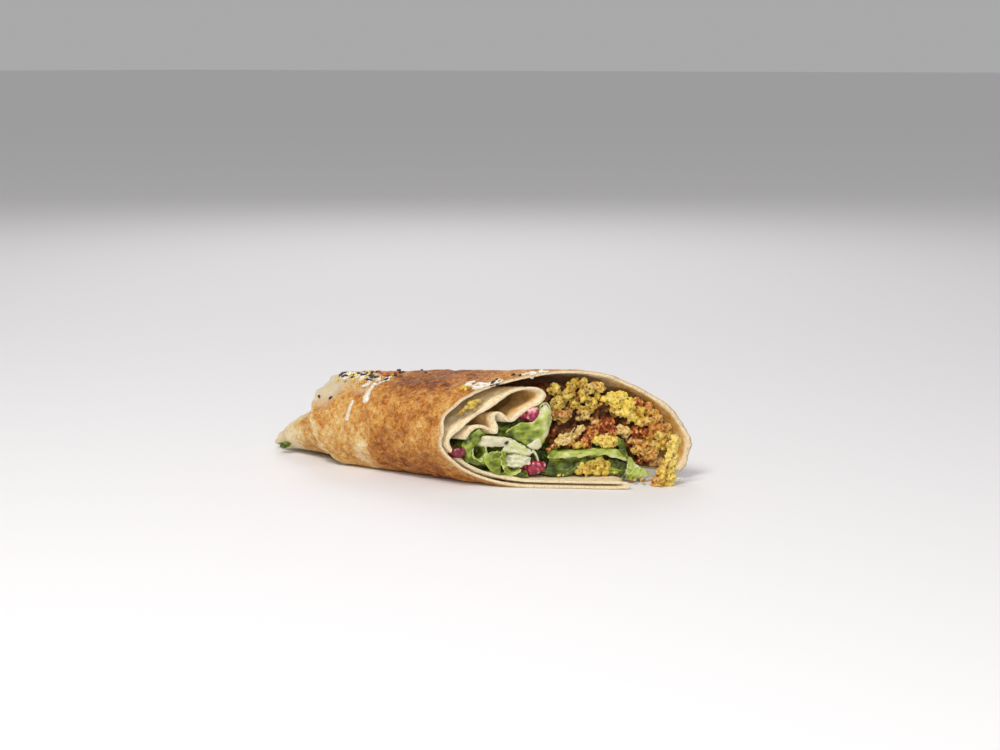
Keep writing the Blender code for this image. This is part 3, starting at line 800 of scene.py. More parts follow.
def crumble(name, lumps, voxel, seed, grain=(0.25, 0.7), floor=False):
    """Crumbled falafel. Each lump is (y, z, forward, radius, crust, pale), in millimetres: a ball of grains."""
    random = np.random.default_rng(seed)
    centres, sizes, tones, middles = [], [], [], []
    for y, z, forward, radius, crust, pale in lumps:
        middle = nest(y, z, forward)
        middles.append(middle)
        stretch = random.uniform(0.75, 1.2, 3)
        for _ in range(int(5 + radius * 2)):
            centres.append(middle + random.normal(size=3) * stretch * radius * 0.34 * MM)
            sizes.append(radius * random.uniform(0.38, 0.6) * MM)
            tones.append((crust, pale))
        for _ in range(int(20 * radius * radius)):
            way = random.normal(size=3)
            way *= stretch / np.linalg.norm(way)
            centres.append(middle + way * radius * random.uniform(0.55, 1.12) * MM)
            sizes.append(random.uniform(*grain) * random.uniform(0.7, 1.3) * MM)
            tones.append((crust + random.normal() * (0.06 if crust < 0.6 else 0.18), pale + random.normal() * 0.14))
    centres = np.array(centres)
    points, faces = balls(centres, np.array(sizes))
    if floor:
        points[:, 2] = np.maximum(points[:, 2], 0.0)
    piece = make(name, points, faces.tolist(), (CRUMB,))
    fuse(piece, voxel)
    roughen(piece, 0.8, 0.09, seed)
    if floor:
        keep_above(piece, 0.0)
    paint_crumb(piece, centres, np.array(tones), seed)
    return piece


def keep_above(piece, height):
    points = coordinates(piece)
    points[:, 2] = np.maximum(points[:, 2], height * MM)
    move_points(piece, points)


def hollows(piece, rounds=2):
    """How hollow the surface is at each point: above 0 in a dip, below 0 on a bump, about -1 to 1."""
    points, out = coordinates(piece), normals(piece)
    pairs = np.empty(len(piece.data.edges) * 2, int)
    piece.data.edges.foreach_get("vertices", pairs)
    pairs = pairs.reshape(-1, 2)
    count = np.bincount(pairs.ravel(), minlength=len(points))[:, None]

    def eased(values):
        total = np.zeros_like(values)
        np.add.at(total, pairs[:, 0], values[pairs[:, 1]])
        np.add.at(total, pairs[:, 1], values[pairs[:, 0]])
        return total / np.maximum(count, 1)

    around = points
    for _ in range(rounds * 2):
        around = eased(around)
    dip = ((around - points) * out).sum(axis=1)[:, None]
    return (eased(dip) / (2 * dip.std() + 1e-9))[:, 0]


def paint_crumb(piece, centres, tones, seed):
    tree = KDTree(len(centres))
    for i, centre in enumerate(centres):
        tree.insert(centre, i)
    tree.balance()
    points = coordinates(piece)
    local = (points - ORIGIN) / MM
    tone = tones[[tree.find(p)[1] for p in points]]
    dip = hollows(piece)
    # Painted shade and light: in hollows the crumb is painted darker and redder, and on bumps paler.
    crust = tone[:, 0] + 0.12 * ripple(local, 3.4, seed + 1) + 0.08 * dip
    forward = local[:, 0] - CUT_X - CUT_RUN * local[:, 1]
    paint(piece, "crust", np.clip(crust, 0, 1))
    pale = (0.6 * tone[:, 1] - 0.25 * dip + 0.1 * ripple(local, 2.5, seed + 3)) * smooth_step(crust, 0.85, 0.35)
    paint(piece, "pale", np.clip(pale, 0, 1))
    # Painted shade under the overhanging bread at the top left and low down; depth adds it to the painted shade behind
    # the cut and in hollows, with random mottling.
    sheltered = 0.26 * smooth_step(local[:, 1], 13, 3) * smooth_step(local[:, 2], 24, 32) + 0.22 * smooth_step(local[:, 2], 14, 11) * smooth_step(local[:, 1], 18, 14)
    mottled = 0.16 * ripple(local, 4.5, seed + 5)
    depth = 0.9 * smooth_step(forward, -1.6, -5.0) + 0.65 * np.clip(dip + 0.05, 0, 1.5) + sheltered + mottled
    paint(piece, "depth", np.clip(depth, 0, 0.97))


GOLD, BROWN, RED = 0.42, 0.64, 0.78
HEAP_LUMPS = (  # y, z, forward, radius, crust, pale
    (-5.9, 45.6, -2.0, 2.7, 0.18, 0.1), (-4.5, 39.2, -1.2, 3.0, 0.15, 0.1), (-1.7, 42.5, -1.6, 2.5, 0.1, 0.1),
    (-5.3, 34.4, -1.2, 2.2, GOLD, 0.2), (-2.4, 33.2, -0.6, 3.2, GOLD, 0.25), (0.7, 47.8, -3.0, 2.6, 0.25, 0.0),
    (0.8, 38.0, -2.2, 2.4, 0.3, 0.0), (3.9, 42.3, -1.4, 2.8, 0.2, 0.1), (6.6, 45.6, -1.2, 2.6, 0.3, 0.45),
    (9.4, 45.9, -1.4, 2.6, 0.3, 0.2), (7.0, 38.0, -1.0, 3.2, 0.24, 0.0), (4.6, 33.0, -1.2, 2.4, 0.24, 0.5),
    (6.0, 35.4, -1.6, 2.0, 0.3, 0.3), (13.7, 41.2, -0.8, 2.8, 0.05, 0.1), (16.8, 41.4, -0.8, 2.7, 0.1, 0.1),
    (15.2, 38.0, -0.4, 3.0, 0.04, 0.0), (19.4, 37.6, -0.4, 3.3, 0.06, 0.0), (19.0, 34.0, 0.2, 3.2, 0.0, 0.1),
    (20.8, 31.2, 0.2, 2.8, 0.02, 0.1), (16.4, 34.0, -1.4, 2.2, 0.1, 0.3), (23.6, 34.6, -1.8, 2.4, 0.3, 0.0),
    (22.6, 38.6, -2.4, 2.2, BROWN, 0.0), (26.6, 36.4, -1.8, 2.2, 0.5, 0.3), (27.2, 32.8, -2.2, 2.4, 0.4, 0.0),
    (23.4, 28.6, -0.8, 2.4, 0.2, 0.1), (26.4, 29.2, -0.6, 2.4, 0.4, 0.2), (29.6, 30.0, -1.2, 2.6, 0.45, 0.3),
    (30.8, 26.0, -0.8, 2.6, 0.5, 0.2), (28.0, 26.0, -0.6, 2.2, 0.55, 0.1), (30.2, 22.0, -0.8, 2.4, 0.2, 0.2),
    (26.8, 22.4, -1.0, 2.2, GOLD, 0.0), (24.6, 23.8, -0.6, 2.6, RED, 0.0), (22.0, 23.6, -1.6, 2.2, RED, 0.1),
    (11.2, 27.8, -1.2, 2.8, RED, 0.15), (13.4, 29.0, -2.0, 2.0, RED, 0.2), (7.6, 25.4, -0.8, 2.6, 0.72, 0.15),
    (8.6, 29.4, -2.2, 1.6, 0.4, 0.4), (13.8, 25.6, -0.6, 2.6, BROWN, 0.3), (16.6, 25.2, -0.6, 2.2, 0.4, 0.6),
    (18.6, 24.0, -0.6, 2.2, 0.3, 0.6), (10.4, 24.4, -1.6, 2.0, RED, 0.1), (11.6, 20.0, 0.4, 3.2, 0.06, 0.25),
    (14.0, 19.6, 0.2, 2.8, 0.06, 0.2), (8.8, 20.6, -0.2, 2.4, 0.15, 0.1), (2.6, 25.6, -1.0, 1.9, 0.3, 0.65),
    (3.6, 26.6, -1.0, 1.6, 0.3, 0.65), (4.6, 19.8, 0.0, 2.2, 0.58, 0.1), (2.0, 18.4, 0.0, 1.9, 0.3, 0.2),
    (7.0, 22.6, -0.8, 2.0, 0.6, 0.2), (23.0, 18.6, -1.4, 2.0, 0.55, 0.3), (24.6, 14.6, 0.2, 2.8, 0.4, 0.2),
    (28.2, 12.8, 0.2, 2.6, 0.42, 0.2), (22.4, 15.6, -0.4, 2.0, 0.35, 0.1), (26.4, 11.0, 0.0, 2.2, 0.62, 0.1),
    (24.2, 11.4, -1.0, 1.8, RED, 0.1), (29.0, 17.4, -1.4, 2.4, 0.2, 0.3), (31.4, 17.6, -1.4, 2.6, 0.3, 0.0),
    (32.8, 22.0, -1.8, 2.4, 0.35, 0.1), (33.4, 25.6, -2.2, 2.0, 0.5, 0.2), (30.6, 9.0, -0.6, 2.0, 0.4, 0.6),
    (28.2, 8.2, -0.8, 1.6, 0.5, 0.7), (25.8, 18.4, -1.8, 2.0, 0.4, 0.2),
)
HEAP_GAPS = (  # y, z, radius: where the heap is hollow
    (-2.7, 47.8, 1.9), (9.9, 38.6, 2.2), (11.4, 35.8, 2.6), (14.2, 32.6, 2.4), (9.6, 33.2, 2.4), (4.2, 29.6, 2.4),
    (1.8, 29.0, 2.4), (17.4, 27.8, 1.8), (20.0, 26.6, 1.6), (-5.9, 25.6, 2.8), (-2.0, 27.6, 2.8), (20.0, 16.1, 2.0),
    (21.0, 11.7, 1.6), (23.0, 40.0, 1.2), (16.2, 29.6, 1.6), (1.4, 35.6, 1.3), (-3.0, 30.0, 1.6), (12.6, 44.6, 1.2),
    (21.4, 20.6, 1.4), (25.2, 26.0, 1.1), (6.4, 28.4, 1.4), (-6.6, 40.0, 1.0),
)
HEAP_REACH = (  # the heap's edge across the cut
    (-6.5, 30.0), (-6.8, 38.0), (-7.2, 45.0), (-5.0, 49.4), (1.0, 50.6), (8.0, 49.4), (13.0, 46.4), (18.0, 43.2),
    (22.5, 40.6), (27.0, 38.0), (30.4, 34.2), (33.2, 29.6), (34.6, 25.0), (34.4, 19.0), (32.4, 12.0), (30.8, 7.4),
    (27.4, 6.6), (23.6, 8.6), (20.8, 14.6), (17.8, 18.0), (8.0, 17.0), (0.0, 17.0), (-4.0, 19.0), (-6.0, 22.0),
)


def inside(y, z, outline):
    """Whether a section point is inside an outline."""
    held = False
    for (ay, az), (by, bz) in zip(outline, outline[1:] + outline[:1]):
        if (az > z) != (bz > z) and y < ay + (by - ay) * (z - az) / (bz - az):
            held = not held
    return held


def filler_lumps(outline, spacing, keys, gaps, seed, deepest=-5.0, nearest=-1.0, sizes=(0.9, 1.9)):
    """Small lumps all over a heap, each with the tone of the big lump nearest to it, and none in its hollows."""
    random = np.random.default_rng(seed)
    low, high = np.min(outline, axis=0), np.max(outline, axis=0)
    made = []
    for row_y in np.arange(low[0], high[0], spacing):
        for row_z in np.arange(low[1], high[1], spacing):
            y, z = np.array((row_y, row_z)) + random.uniform(-0.5, 0.5, 2) * spacing
            radius = random.uniform(*sizes)
            forward = random.uniform(deepest, nearest)
            near_key = min(keys, key=lambda key: (key[0] - y) ** 2 + (key[1] - z) ** 2)
            crust = near_key[4] + random.normal() * 0.14
            pale = near_key[5] + random.normal() * 0.15
            hollow = any((y - gy) ** 2 + (z - gz) ** 2 < gr * gr for gy, gz, gr in gaps)
            moved_y, moved_z = y + OUT_OF_CUT[1] * forward, z + OUT_OF_CUT[2] * forward
            fits = moved_y < 0 or inside(moved_y + radius - 1.2, moved_z + (radius - 1.2) * (moved_z > 25), outline)
            if inside(y, z, outline) and fits and not hollow:
                made.append((y, z, forward, radius, crust, pale))
    return made


SCRAP_LUMPS = (
    (-1.0, 21.3, 1.4, 1.5, 0.34, 0.85), (-2.6, 21.4, 1.4, 1.5, 0.3, 0.85), (-3.8, 19.8, 1.4, 1.5, 0.34, 0.85),
    (-2.4, 19.8, 1.4, 1.4, 0.34, 0.8), (-5.0, 20.4, 1.2, 0.8, 0.5, 0.6), (-6.6, 18.2, 1.2, 0.9, 0.7, 0.4),
    (-7.8, 17.0, 1.2, 0.9, 0.75, 0.4), (-5.6, 19.0, 1.2, 0.8, 0.6, 0.5),
)
SPILL_LUMPS = (  # as seen across the cut: y, z, radius, crust, pale; the column stands in front of it
    (34.9, 21.0, 1.6, 0.1, 0.4), (35.4, 18.6, 2.2, 0.08, 0.35), (33.8, 17.4, 2.0, 0.1, 0.3), (34.2, 14.8, 2.5, 0.08, 0.3),
    (33.6, 11.4, 2.4, 0.06, 0.35), (34.2, 8.4, 2.5, 0.05, 0.35), (32.0, 8.6, 2.0, 0.2, 0.2), (33.8, 5.0, 2.6, 0.1, 0.25),
    (31.0, 5.4, 2.4, 0.25, 0.2), (33.6, 1.6, 2.6, 0.08, 0.2), (30.6, 2.2, 2.5, 0.25, 0.1), (28.6, 1.0, 1.8, 0.45, 0.2),
    (33.2, -1.6, 2.5, 0.1, 0.1), (30.4, -1.0, 2.6, 0.3, 0.05), (28.2, -1.4, 1.9, 0.6, 0.0), (32.2, -3.2, 1.8, 0.2, 0.0),
    (30.6, -3.0, 1.8, 0.7, 0.0), (29.4, 4.4, 1.6, 0.5, 0.4), (35.2, 11.6, 1.6, 0.12, 0.4),
)
SPILL_FORWARD = 22.0  # how far in front of the cut the column stands
LOW_LUMPS = (
    (2.4, 5.6, 4.0, 1.8, 0.25, 0.0), (3.6, 8.2, 3.6, 1.9, 0.2, 0.1), (5.4, 6.0, 4.2, 2.1, 0.2, 0.0), (6.8, 9.4, 3.4, 2.2, 0.15, 0.0),
    (8.4, 5.2, 4.2, 2.1, 0.1, 0.0), (9.6, 10.2, 3.2, 2.3, 0.12, 0.1), (10.0, 7.4, 3.8, 2.2, 0.15, 0.0), (11.4, 4.6, 4.2, 1.8, 0.2, 0.0),
    (12.2, 9.0, 3.4, 1.8, 0.3, 0.0), (12.2, 6.6, 3.8, 1.6, 0.1, 0.0),
)
POCKET_LUMPS = (
    (-36.6, 37.0, -1.8, 0.9, 0.2, 0.0), (-35.6, 38.4, -1.4, 1.1, 0.1, 0.1), (-34.0, 38.8, -1.2, 1.3, 0.05, 0.1),
    (-32.8, 40.4, -1.6, 1.4, 0.1, 0.1), (-31.4, 41.6, -2.2, 1.1, 0.15, 0.1), (-37.6, 35.6, -2.2, 0.8, 0.3, 0.0),
    (-34.6, 40.6, -2.4, 1.0, 0.2, 0.0), (-33.0, 38.0, -1.6, 0.9, 0.3, 0.2),
)


def falafel_heap():
    filler = filler_lumps(HEAP_REACH, 2.5, HEAP_LUMPS, HEAP_GAPS, 30)
    split = 11.0  # across the roll, so that neither piece is too fine
    lumps = list(HEAP_LUMPS) + filler
    left = crumble("falafel_heap_left", [lump for lump in lumps if lump[0] < split], 0.36, 31)
    finish_piece(left, "falafel", "falafel_heap")
    finish_piece(crumble("falafel_heap_right", [lump for lump in lumps if lump[0] >= split], 0.36, 32), "falafel")
    # The lumps behind are given a dark red-brown tone as painted shade, deep behind the cut.
    burnt = [(*key[:4], 0.8, 0.0) for key in HEAP_LUMPS]
    behind = filler_lumps(HEAP_REACH, 3.0, burnt, (), 38, deepest=-8.5, nearest=-5.5, sizes=(1.6, 2.4))
    finish_piece(crumble("falafel_heap_behind", behind, 0.5, 39, grain=(0.35, 0.9)), "falafel")
    outline = curve(
        ((-4.6, 38.0), (-4.8, 45.0), (0.0, 48.6), (8.0, 47.4), (17.0, 42.6), (25.0, 36.6), (30.0, 29.0), (31.6, 21.0),
         (29.6, 13.0), (26.0, 12.0), (23.0, 16.4), (18.0, 19.0), (10.0, 18.6), (-3.2, 19.0), (-3.4, 28.0)), 1.5, closed=True
    )
    middle = outline.mean(axis=0)
    rings = []
    for share, forward in ((0.02, -8.5), (0.3, -8.6), (0.6, -8.8), (0.85, -9.0), (0.98, -10.0), (0.84, -30.0), (0.84, -62.0), (0.5, -64.0), (0.02, -64.0)):
        ring = middle + (outline - middle) * share
        lumpy = 1.6 * ripple(ring, 7, 33) + 0.8 * ripple(ring, 3, 34)
        rings.append(spot(ring[:, 0], ring[:, 1], forward + lumpy * (forward > -11)))
    grid = np.array(rings)
    rows, columns = grid.shape[:2]
    faces = grid_faces(rows, columns, closed=True)
    faces += [tuple(range(columns))[::-1], tuple((rows - 1) * columns + c for c in range(columns))]
    core = make("falafel_heap_core", grid, faces, (CRUMB,))
    face_out(core)
    fuse(core, 0.8)
    roughen(core, 2.4, 0.5, 35)
    roughen(core, 1.2, 0.3, 36)
    # The core is painted dark as shade deep inside the heap, where it shows through the gaps.
    local = (coordinates(core) - ORIGIN) / MM
    paint(core, "crust", np.clip(0.72 + 0.2 * ripple(local, 3, 36), 0, 1))
    paint(core, "pale", 0 * local[:, 0])
    paint(core, "depth", np.clip(0.6 + 0.25 * ripple(local, 4, 37), 0, 1))
    finish_piece(core, "falafel")


def falafel_spill():
    low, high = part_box("falafel_spill")
    middle = (np.array((low.x, low.y)) + np.array((high.x, high.y))) / 2
    lumps = [(y, z, SPILL_FORWARD, radius, crust, pale) for y, z, radius, crust, pale in SPILL_LUMPS]
    places = np.array([nest(y, z, SPILL_FORWARD) for y, z, *_ in lumps])
    back = (places[:, :2].mean(axis=0) - middle) @ OUT_OF_CUT[:2] / (OUT_OF_CUT[:2] @ OUT_OF_CUT[:2]) / MM
    lumps = [(y, z, SPILL_FORWARD - back, radius, crust, pale) for y, z, _, radius, crust, pale in lumps]
    spill = crumble("falafel_spill_crumbs", lumps, 0.34, 41, floor=True)
    finish_piece(spill, "falafel", "falafel_spill")


# ---------------------------------------------------------------- salad
def leaf(name, net, thickness, seed, node=None, pale=0.35, ruffle=0.6, rim_pale=0.5, veins="across", tint_way=None):
    """A leaf through a net of (y, z, forward) points: rows from its front edge inwards.

    veins run "across" the rows from a middle rib, or "along" them; tint_way(u, v) adds to how pale it is.
    """
    across_count, along_count = 46, 32
    rows = np.stack([curve_count(line, across_count) for line in np.asarray(net, float)])
    middle = np.stack([curve_count(rows[:, c], along_count) for c in range(across_count)], axis=1)
    u = np.linspace(0, 1, across_count)[None, :]
    v = np.linspace(0, 1, along_count)[:, None]
    wave = ripple(middle, 6.0, seed) * ruffle + 0.26 * ripple(middle, 2.3, seed + 1) + 0.1 * ripple(middle, 1.1, seed + 4)
    vein = vein_pattern(u, v, seed) if veins == "across" else streak_pattern(u, v, seed)
    points = spot(middle[..., 0], middle[..., 1], middle[..., 2])
    du, dv = np.gradient(points, axis=1), np.gradient(points, axis=0)
    way = np.cross(du, dv)
    way /= np.maximum(np.linalg.norm(way, axis=-1)[..., None], 1e-12)
    fade = 1 - 0.6 * v
    points = points + way * ((wave + 0.25 * vein) * fade)[..., None] * MM
    down = dv / np.maximum(np.linalg.norm(dv, axis=-1)[..., None], 1e-12)
    jag = 0.35 * ripple(middle, 2.0, seed + 5) + 0.2 * ripple(middle, 0.9, seed + 6)
    points = points + down * (jag * np.clip(1 - v * 4, 0, 1))[..., None] * MM
    edge = np.minimum(np.minimum(u, 1 - u) * 10, np.minimum(v, 1 - v) * 12)
    half = thickness / 2 * (0.35 + 0.65 * np.clip(edge, 0, 1))[..., None] * MM
    piece = slab(name, points + way * half, points - way * half, (LEAF,))
    face_out(piece)
    apply_modifier(piece, "SUBSURF", levels=1, render_levels=1)
    front_edge = np.clip(1 - v * 16, 0, 1) + 0.5 * np.clip(1 - np.minimum(u, 1 - u) * 26, 0, 1)
    # The wave term paints the leaf paler where its ruffles bulge and darker in their dips: painted light and shade.
    tint = pale + 0.22 * vein + rim_pale * front_edge + 0.12 * ripple(middle, 5, seed + 2) + 0.14 * wave / (ruffle + 0.4)
    if tint_way:
        tint = tint + tint_way(u, v)
    # Painted shade: darker the further the leaf runs back behind the cut.
    tint = tint - 0.45 * smooth_step(middle[..., 2], 1.0, -6.0)
    tree = KDTree(points.shape[0] * points.shape[1])
    for i, p in enumerate(points.reshape(-1, 3)):
        tree.insert(p, i)
    tree.balance()
    tint, vein = (tint + 0 * vein).ravel(), (vein + 0 * tint).ravel()
    nearest = [tree.find(p)[1] for p in coordinates(piece)]
    paint(piece, "pale", np.clip(tint[nearest], 0, 1))
    paint(piece, "vein", vein[nearest])
    return finish_piece(piece, "lettuce", *([node] if node else []))


def curve_count(line, count):
    """The smooth curve through a line of points, resampled to this many."""
    dense = curve(line, np.linalg.norm(np.diff(line, axis=0), axis=1).mean() / 12)
    length = np.concatenate(((0,), np.cumsum(np.linalg.norm(np.diff(dense, axis=0), axis=1))))
    want = np.linspace(0, length[-1], count)
    return np.stack([np.interp(want, length, dense[:, k]) for k in range(dense.shape[1])], axis=-1)


def vein_pattern(u, v, seed):
    """Veins that leave a middle rib at a slant."""
    bend = 0.02 * np.sin(9 * v + seed)
    rib = np.exp(-(((u - 0.5 - bend) / 0.03) ** 2))
    side = np.abs(u - 0.5 - bend)
    slanted = np.sin((v + side * 0.9) * 34 + 0.7 * np.sin(seed + u * 12))
    return np.clip(rib + 0.5 * np.clip(slanted - 0.72, 0, 1) / 0.28, 0, 1)


def streak_pattern(u, v, seed):
    """Veins that run side by side from one side of the leaf and fork."""
    lines = np.sin(v * 30 + 1.2 * np.sin(u * 4 + seed) + 2.2 * u)
    finer = np.sin(v * 71 + 2.0 * np.sin(u * 7 + seed * 2))
    return np.clip(0.8 * np.clip(lines - 0.45, 0, 1) / 0.55 + 0.35 * np.clip(finer - 0.5, 0, 1) / 0.5, 0, 1)


def runs_back(line, *forwards, spread=0.0):
    """A leaf's net from its front edge: the same line further and further back."""
    line = np.asarray(line, float)
    middle = line[:, :2].mean(axis=0)
    rows = []
    for k, back in enumerate(forwards):
        moved = line.copy()
        moved[:, :2] = middle + (line[:, :2] - middle) * (1 - spread * k)
        moved[:, 2] = line[:, 2] + back
        rows.append(moved)
    return rows


def solid_piece(name, outline, front, back, seed, material, slot, node=None, voxel=0.4, rough=0.1, dome=0.5, lean=(0, 0)):
    """A thick piece with this outline across the cut, from front to back, with softened edges.

    dome is how far its face stands proud in the middle; lean moves its back end across and up.
    """
    ring = curve(outline, 0.8, closed=True)
    middle = ring.mean(axis=0)
    steps = ((0.02, front + dome), (0.5, front + dome * 0.8), (0.85, front + dome * 0.2), (1.0, front - 0.8), (1.0, (front + back) / 2), (0.9, back + 0.6), (0.6, back), (0.02, back))
    rings = []
    for share, forward in steps:
        behind = (front - forward) / (front - back)
        line = middle + (ring - middle) * share + np.array(lean) * max(behind, 0)
        rings.append(spot(line[:, 0], line[:, 1], forward))
    grid = np.array(rings)
    rows, columns = grid.shape[:2]
    faces = grid_faces(rows, columns, closed=True)
    faces += [tuple(range(columns))[::-1], tuple((rows - 1) * columns + c for c in range(columns))]
    piece = make(name, grid, faces, (material,))
    face_out(piece)
    fuse(piece, voxel, smoothing=3)
    roughen(piece, 3.2, rough, seed)
    roughen(piece, 1.1, rough * 0.35, seed + 1)
    return finish_piece(piece, slot, *([node] if node else []))


def salad():
    leaf(
        "lettuce_fan",
        (
            ((-22.4, 26.2, 0.4), (-20.2, 28.6, 0.8), (-17.6, 30.2, 1.0), (-14.6, 30.4, 1.4), (-12.4, 31.6, 1.6), (-11.0, 35.4, 1.4), (-9.8, 38.8, 1.0)),
            ((-22.2, 25.8, 0.6), (-19.4, 26.8, 1.8), (-16.6, 27.8, 2.0), (-13.8, 28.4, 2.8), (-11.4, 30.6, 3.0), (-9.8, 34.6, 2.4), (-8.4, 38.4, 1.2)),
            ((-22.0, 25.4, 0.6), (-18.8, 24.8, 1.2), (-16.0, 25.0, 1.0), (-13.0, 25.4, 2.6), (-10.6, 27.0, 3.4), (-8.8, 31.0, 2.6), (-7.4, 35.8, 0.6)),
            ((-21.6, 24.8, 0.2), (-18.2, 22.8, 1.4), (-15.0, 22.0, 1.8), (-12.0, 22.2, 2.8), (-9.8, 23.6, 2.8), (-8.0, 27.6, 1.6), (-7.2, 31.6, -0.6)),
            ((-21.0, 24.2, -0.6), (-17.4, 21.2, 0.4), (-14.2, 19.4, 0.8), (-11.4, 19.0, 1.6), (-9.4, 20.8, 1.0), (-7.8, 24.6, -0.6), (-7.2, 28.4, -3.0)),
            ((-20.6, 23.8, -8.0), (-17.0, 20.8, -8.0), (-13.8, 19.0, -8.0), (-11.2, 18.8, -8.0), (-9.2, 20.4, -9.0), (-7.8, 24.2, -10.0), (-7.2, 27.8, -12.0)),
        ),
        0.7, 51, "lettuce_upper", pale=0.36, ruffle=0.7, veins="along", rim_pale=0.3,
        tint_way=lambda u, v: 0.36 * smooth_step(u, 0.52, 0.74) - 0.1 * np.exp(-(((u - 0.42) / 0.14) ** 2)) + 0.12 * smooth_step(v, 0.3, 0.0) - 0.3 * smooth_step(u, 0.22, 0.05),
    )
    leaf(
        "lettuce_fan_curl",
        runs_back(((-10.6, 36.0, 1.0), (-10.2, 38.6, 1.4), (-8.6, 39.2, 1.4), (-7.2, 37.0, 0.8), (-6.7, 33.0, 0.2), (-7.0, 29.4, 0.2), (-7.8, 26.0, 0.2)), 0, -5, -12, -24),
        0.8, 52, pale=0.55, ruffle=0.25,
    )
    leaf(
        "lettuce_curled_leaf",
        (
            ((-29.4, 25.8, -1.0), (-31.6, 28.2, -1.6), (-33.8, 26.2, -1.6), (-35.6, 22.6, -1.8), (-36.4, 18.4, -1.6), (-35.4, 13.6, -1.2), (-32.4, 10.8, -0.4), (-29.6, 10.6, 0.2)),
            ((-29.2, 25.4, 0.6), (-31.0, 26.6, 1.0), (-33.0, 25.0, 1.2), (-34.8, 21.8, 1.2), (-35.7, 18.0, 1.4), (-34.7, 14.0, 1.6), (-32.2, 11.5, 2.0), (-29.6, 11.2, 2.2)),
            ((-29.2, 25.0, 1.2), (-30.4, 25.0, 2.0), (-31.9, 23.6, 2.2), (-33.7, 21.0, 2.2), (-34.9, 17.8, 2.4), (-34.1, 14.4, 2.6), (-31.9, 12.1, 2.8), (-29.8, 11.9, 3.0)),
            ((-29.4, 24.4, 0.0), (-30.0, 24.0, 0.2), (-31.1, 22.8, 0.4), (-32.7, 20.6, 0.4), (-34.0, 17.6, 0.6), (-33.4, 14.8, 0.8), (-31.5, 12.7, 1.0), (-30.0, 12.6, 1.2)),
            ((-29.6, 24.0, -8.0), (-30.0, 23.4, -8.0), (-30.8, 22.2, -8.0), (-32.2, 20.2, -8.0), (-33.4, 17.6, -8.0), (-32.9, 15.2, -8.0), (-31.2, 13.3, -8.0), (-30.0, 13.2, -8.0)),
        ),
        0.8, 53, "lettuce_curled", pale=0.14, ruffle=0.35, rim_pale=0.25,
        tint_way=lambda u, v: 0.42 * np.exp(-(((v - 0.42) / 0.12) ** 2)) * smooth_step(u, 0.3, 0.6) + 0.1 * smooth_step(u, 0.4, 0.0),
    )
    leaf(
        "lettuce_curl_ring",
        runs_back(((-30.9, 20.2, 2.6), (-29.3, 19.6, 2.8), (-28.7, 17.4, 3.0), (-28.8, 14.8, 3.2), (-30.0, 12.9, 3.2), (-31.6, 12.5, 3.0), (-33.0, 13.9, 2.8), (-33.6, 16.4, 2.6), (-33.0, 18.8, 2.4)), 0, -1.6, -6, -20, spread=0.06),
        0.9, 54, pale=0.5, ruffle=0.2, rim_pale=0.4,
    )
    leaf(
        "lettuce_middle_patch",
        (
            ((-29.4, 16.4, 1.6), (-28.0, 16.6, 1.8), (-26.2, 17.0, 2.2), (-24.2, 17.2, 2.4)),
            ((-30.0, 14.6, 2.4), (-28.0, 14.6, 3.0), (-25.8, 14.6, 3.2), (-24.0, 14.8, 2.6)),
            ((-30.0, 12.4, 2.6), (-27.6, 12.0, 3.4), (-25.6, 11.6, 3.6), (-24.0, 11.6, 2.8)),
            ((-28.6, 10.0, 1.8), (-27.0, 9.4, 3.0), (-25.4, 8.8, 3.6), (-23.9, 8.8, 2.8)),
            ((-27.8, 7.6, 0.8), (-26.4, 6.8, 1.8), (-25.2, 6.2, 2.4), (-24.0, 6.4, 2.0)),
            ((-27.4, 7.2, -8.0), (-26.2, 6.4, -8.0), (-25.0, 5.8, -8.0), (-23.8, 6.0, -8.0)),
        ),
        0.7, 55, pale=0.36, ruffle=0.45, veins="along", rim_pale=0.25,
    )
    leaf(
        "lettuce_cup",
        (
            ((-23.6, 17.6, 2.6), (-24.0, 14.8, 3.2), (-23.9, 11.6, 3.6), (-23.2, 8.4, 3.8), (-21.8, 6.0, 3.8), (-19.8, 5.0, 3.6), (-18.2, 6.0, 3.4), (-17.0, 7.8, 3.0)),
            ((-22.9, 17.2, 1.2), (-23.4, 14.6, 1.6), (-23.3, 11.6, 1.8), (-22.6, 8.9, 2.0), (-21.4, 6.8, 2.2), (-19.8, 6.1, 2.2), (-18.4, 6.8, 2.0), (-17.4, 8.2, 1.8)),
            ((-22.0, 16.8, -1.0), (-22.6, 14.4, -1.0), (-22.5, 11.6, -1.0), (-21.9, 9.4, -0.8), (-21.0, 7.8, -0.6), (-19.8, 7.2, -0.6), (-18.8, 7.8, -0.6), (-18.0, 8.8, -0.6)),
            ((-21.4, 16.4, -10.0), (-21.8, 14.2, -10.0), (-21.7, 11.8, -10.0), (-21.2, 9.8, -10.0), (-20.6, 8.6, -10.0), (-19.8, 8.2, -10.0), (-19.2, 8.6, -10.0), (-18.6, 9.4, -10.0)),
        ),
        0.9, 56, pale=0.36, ruffle=0.2, rim_pale=0.35,
    )
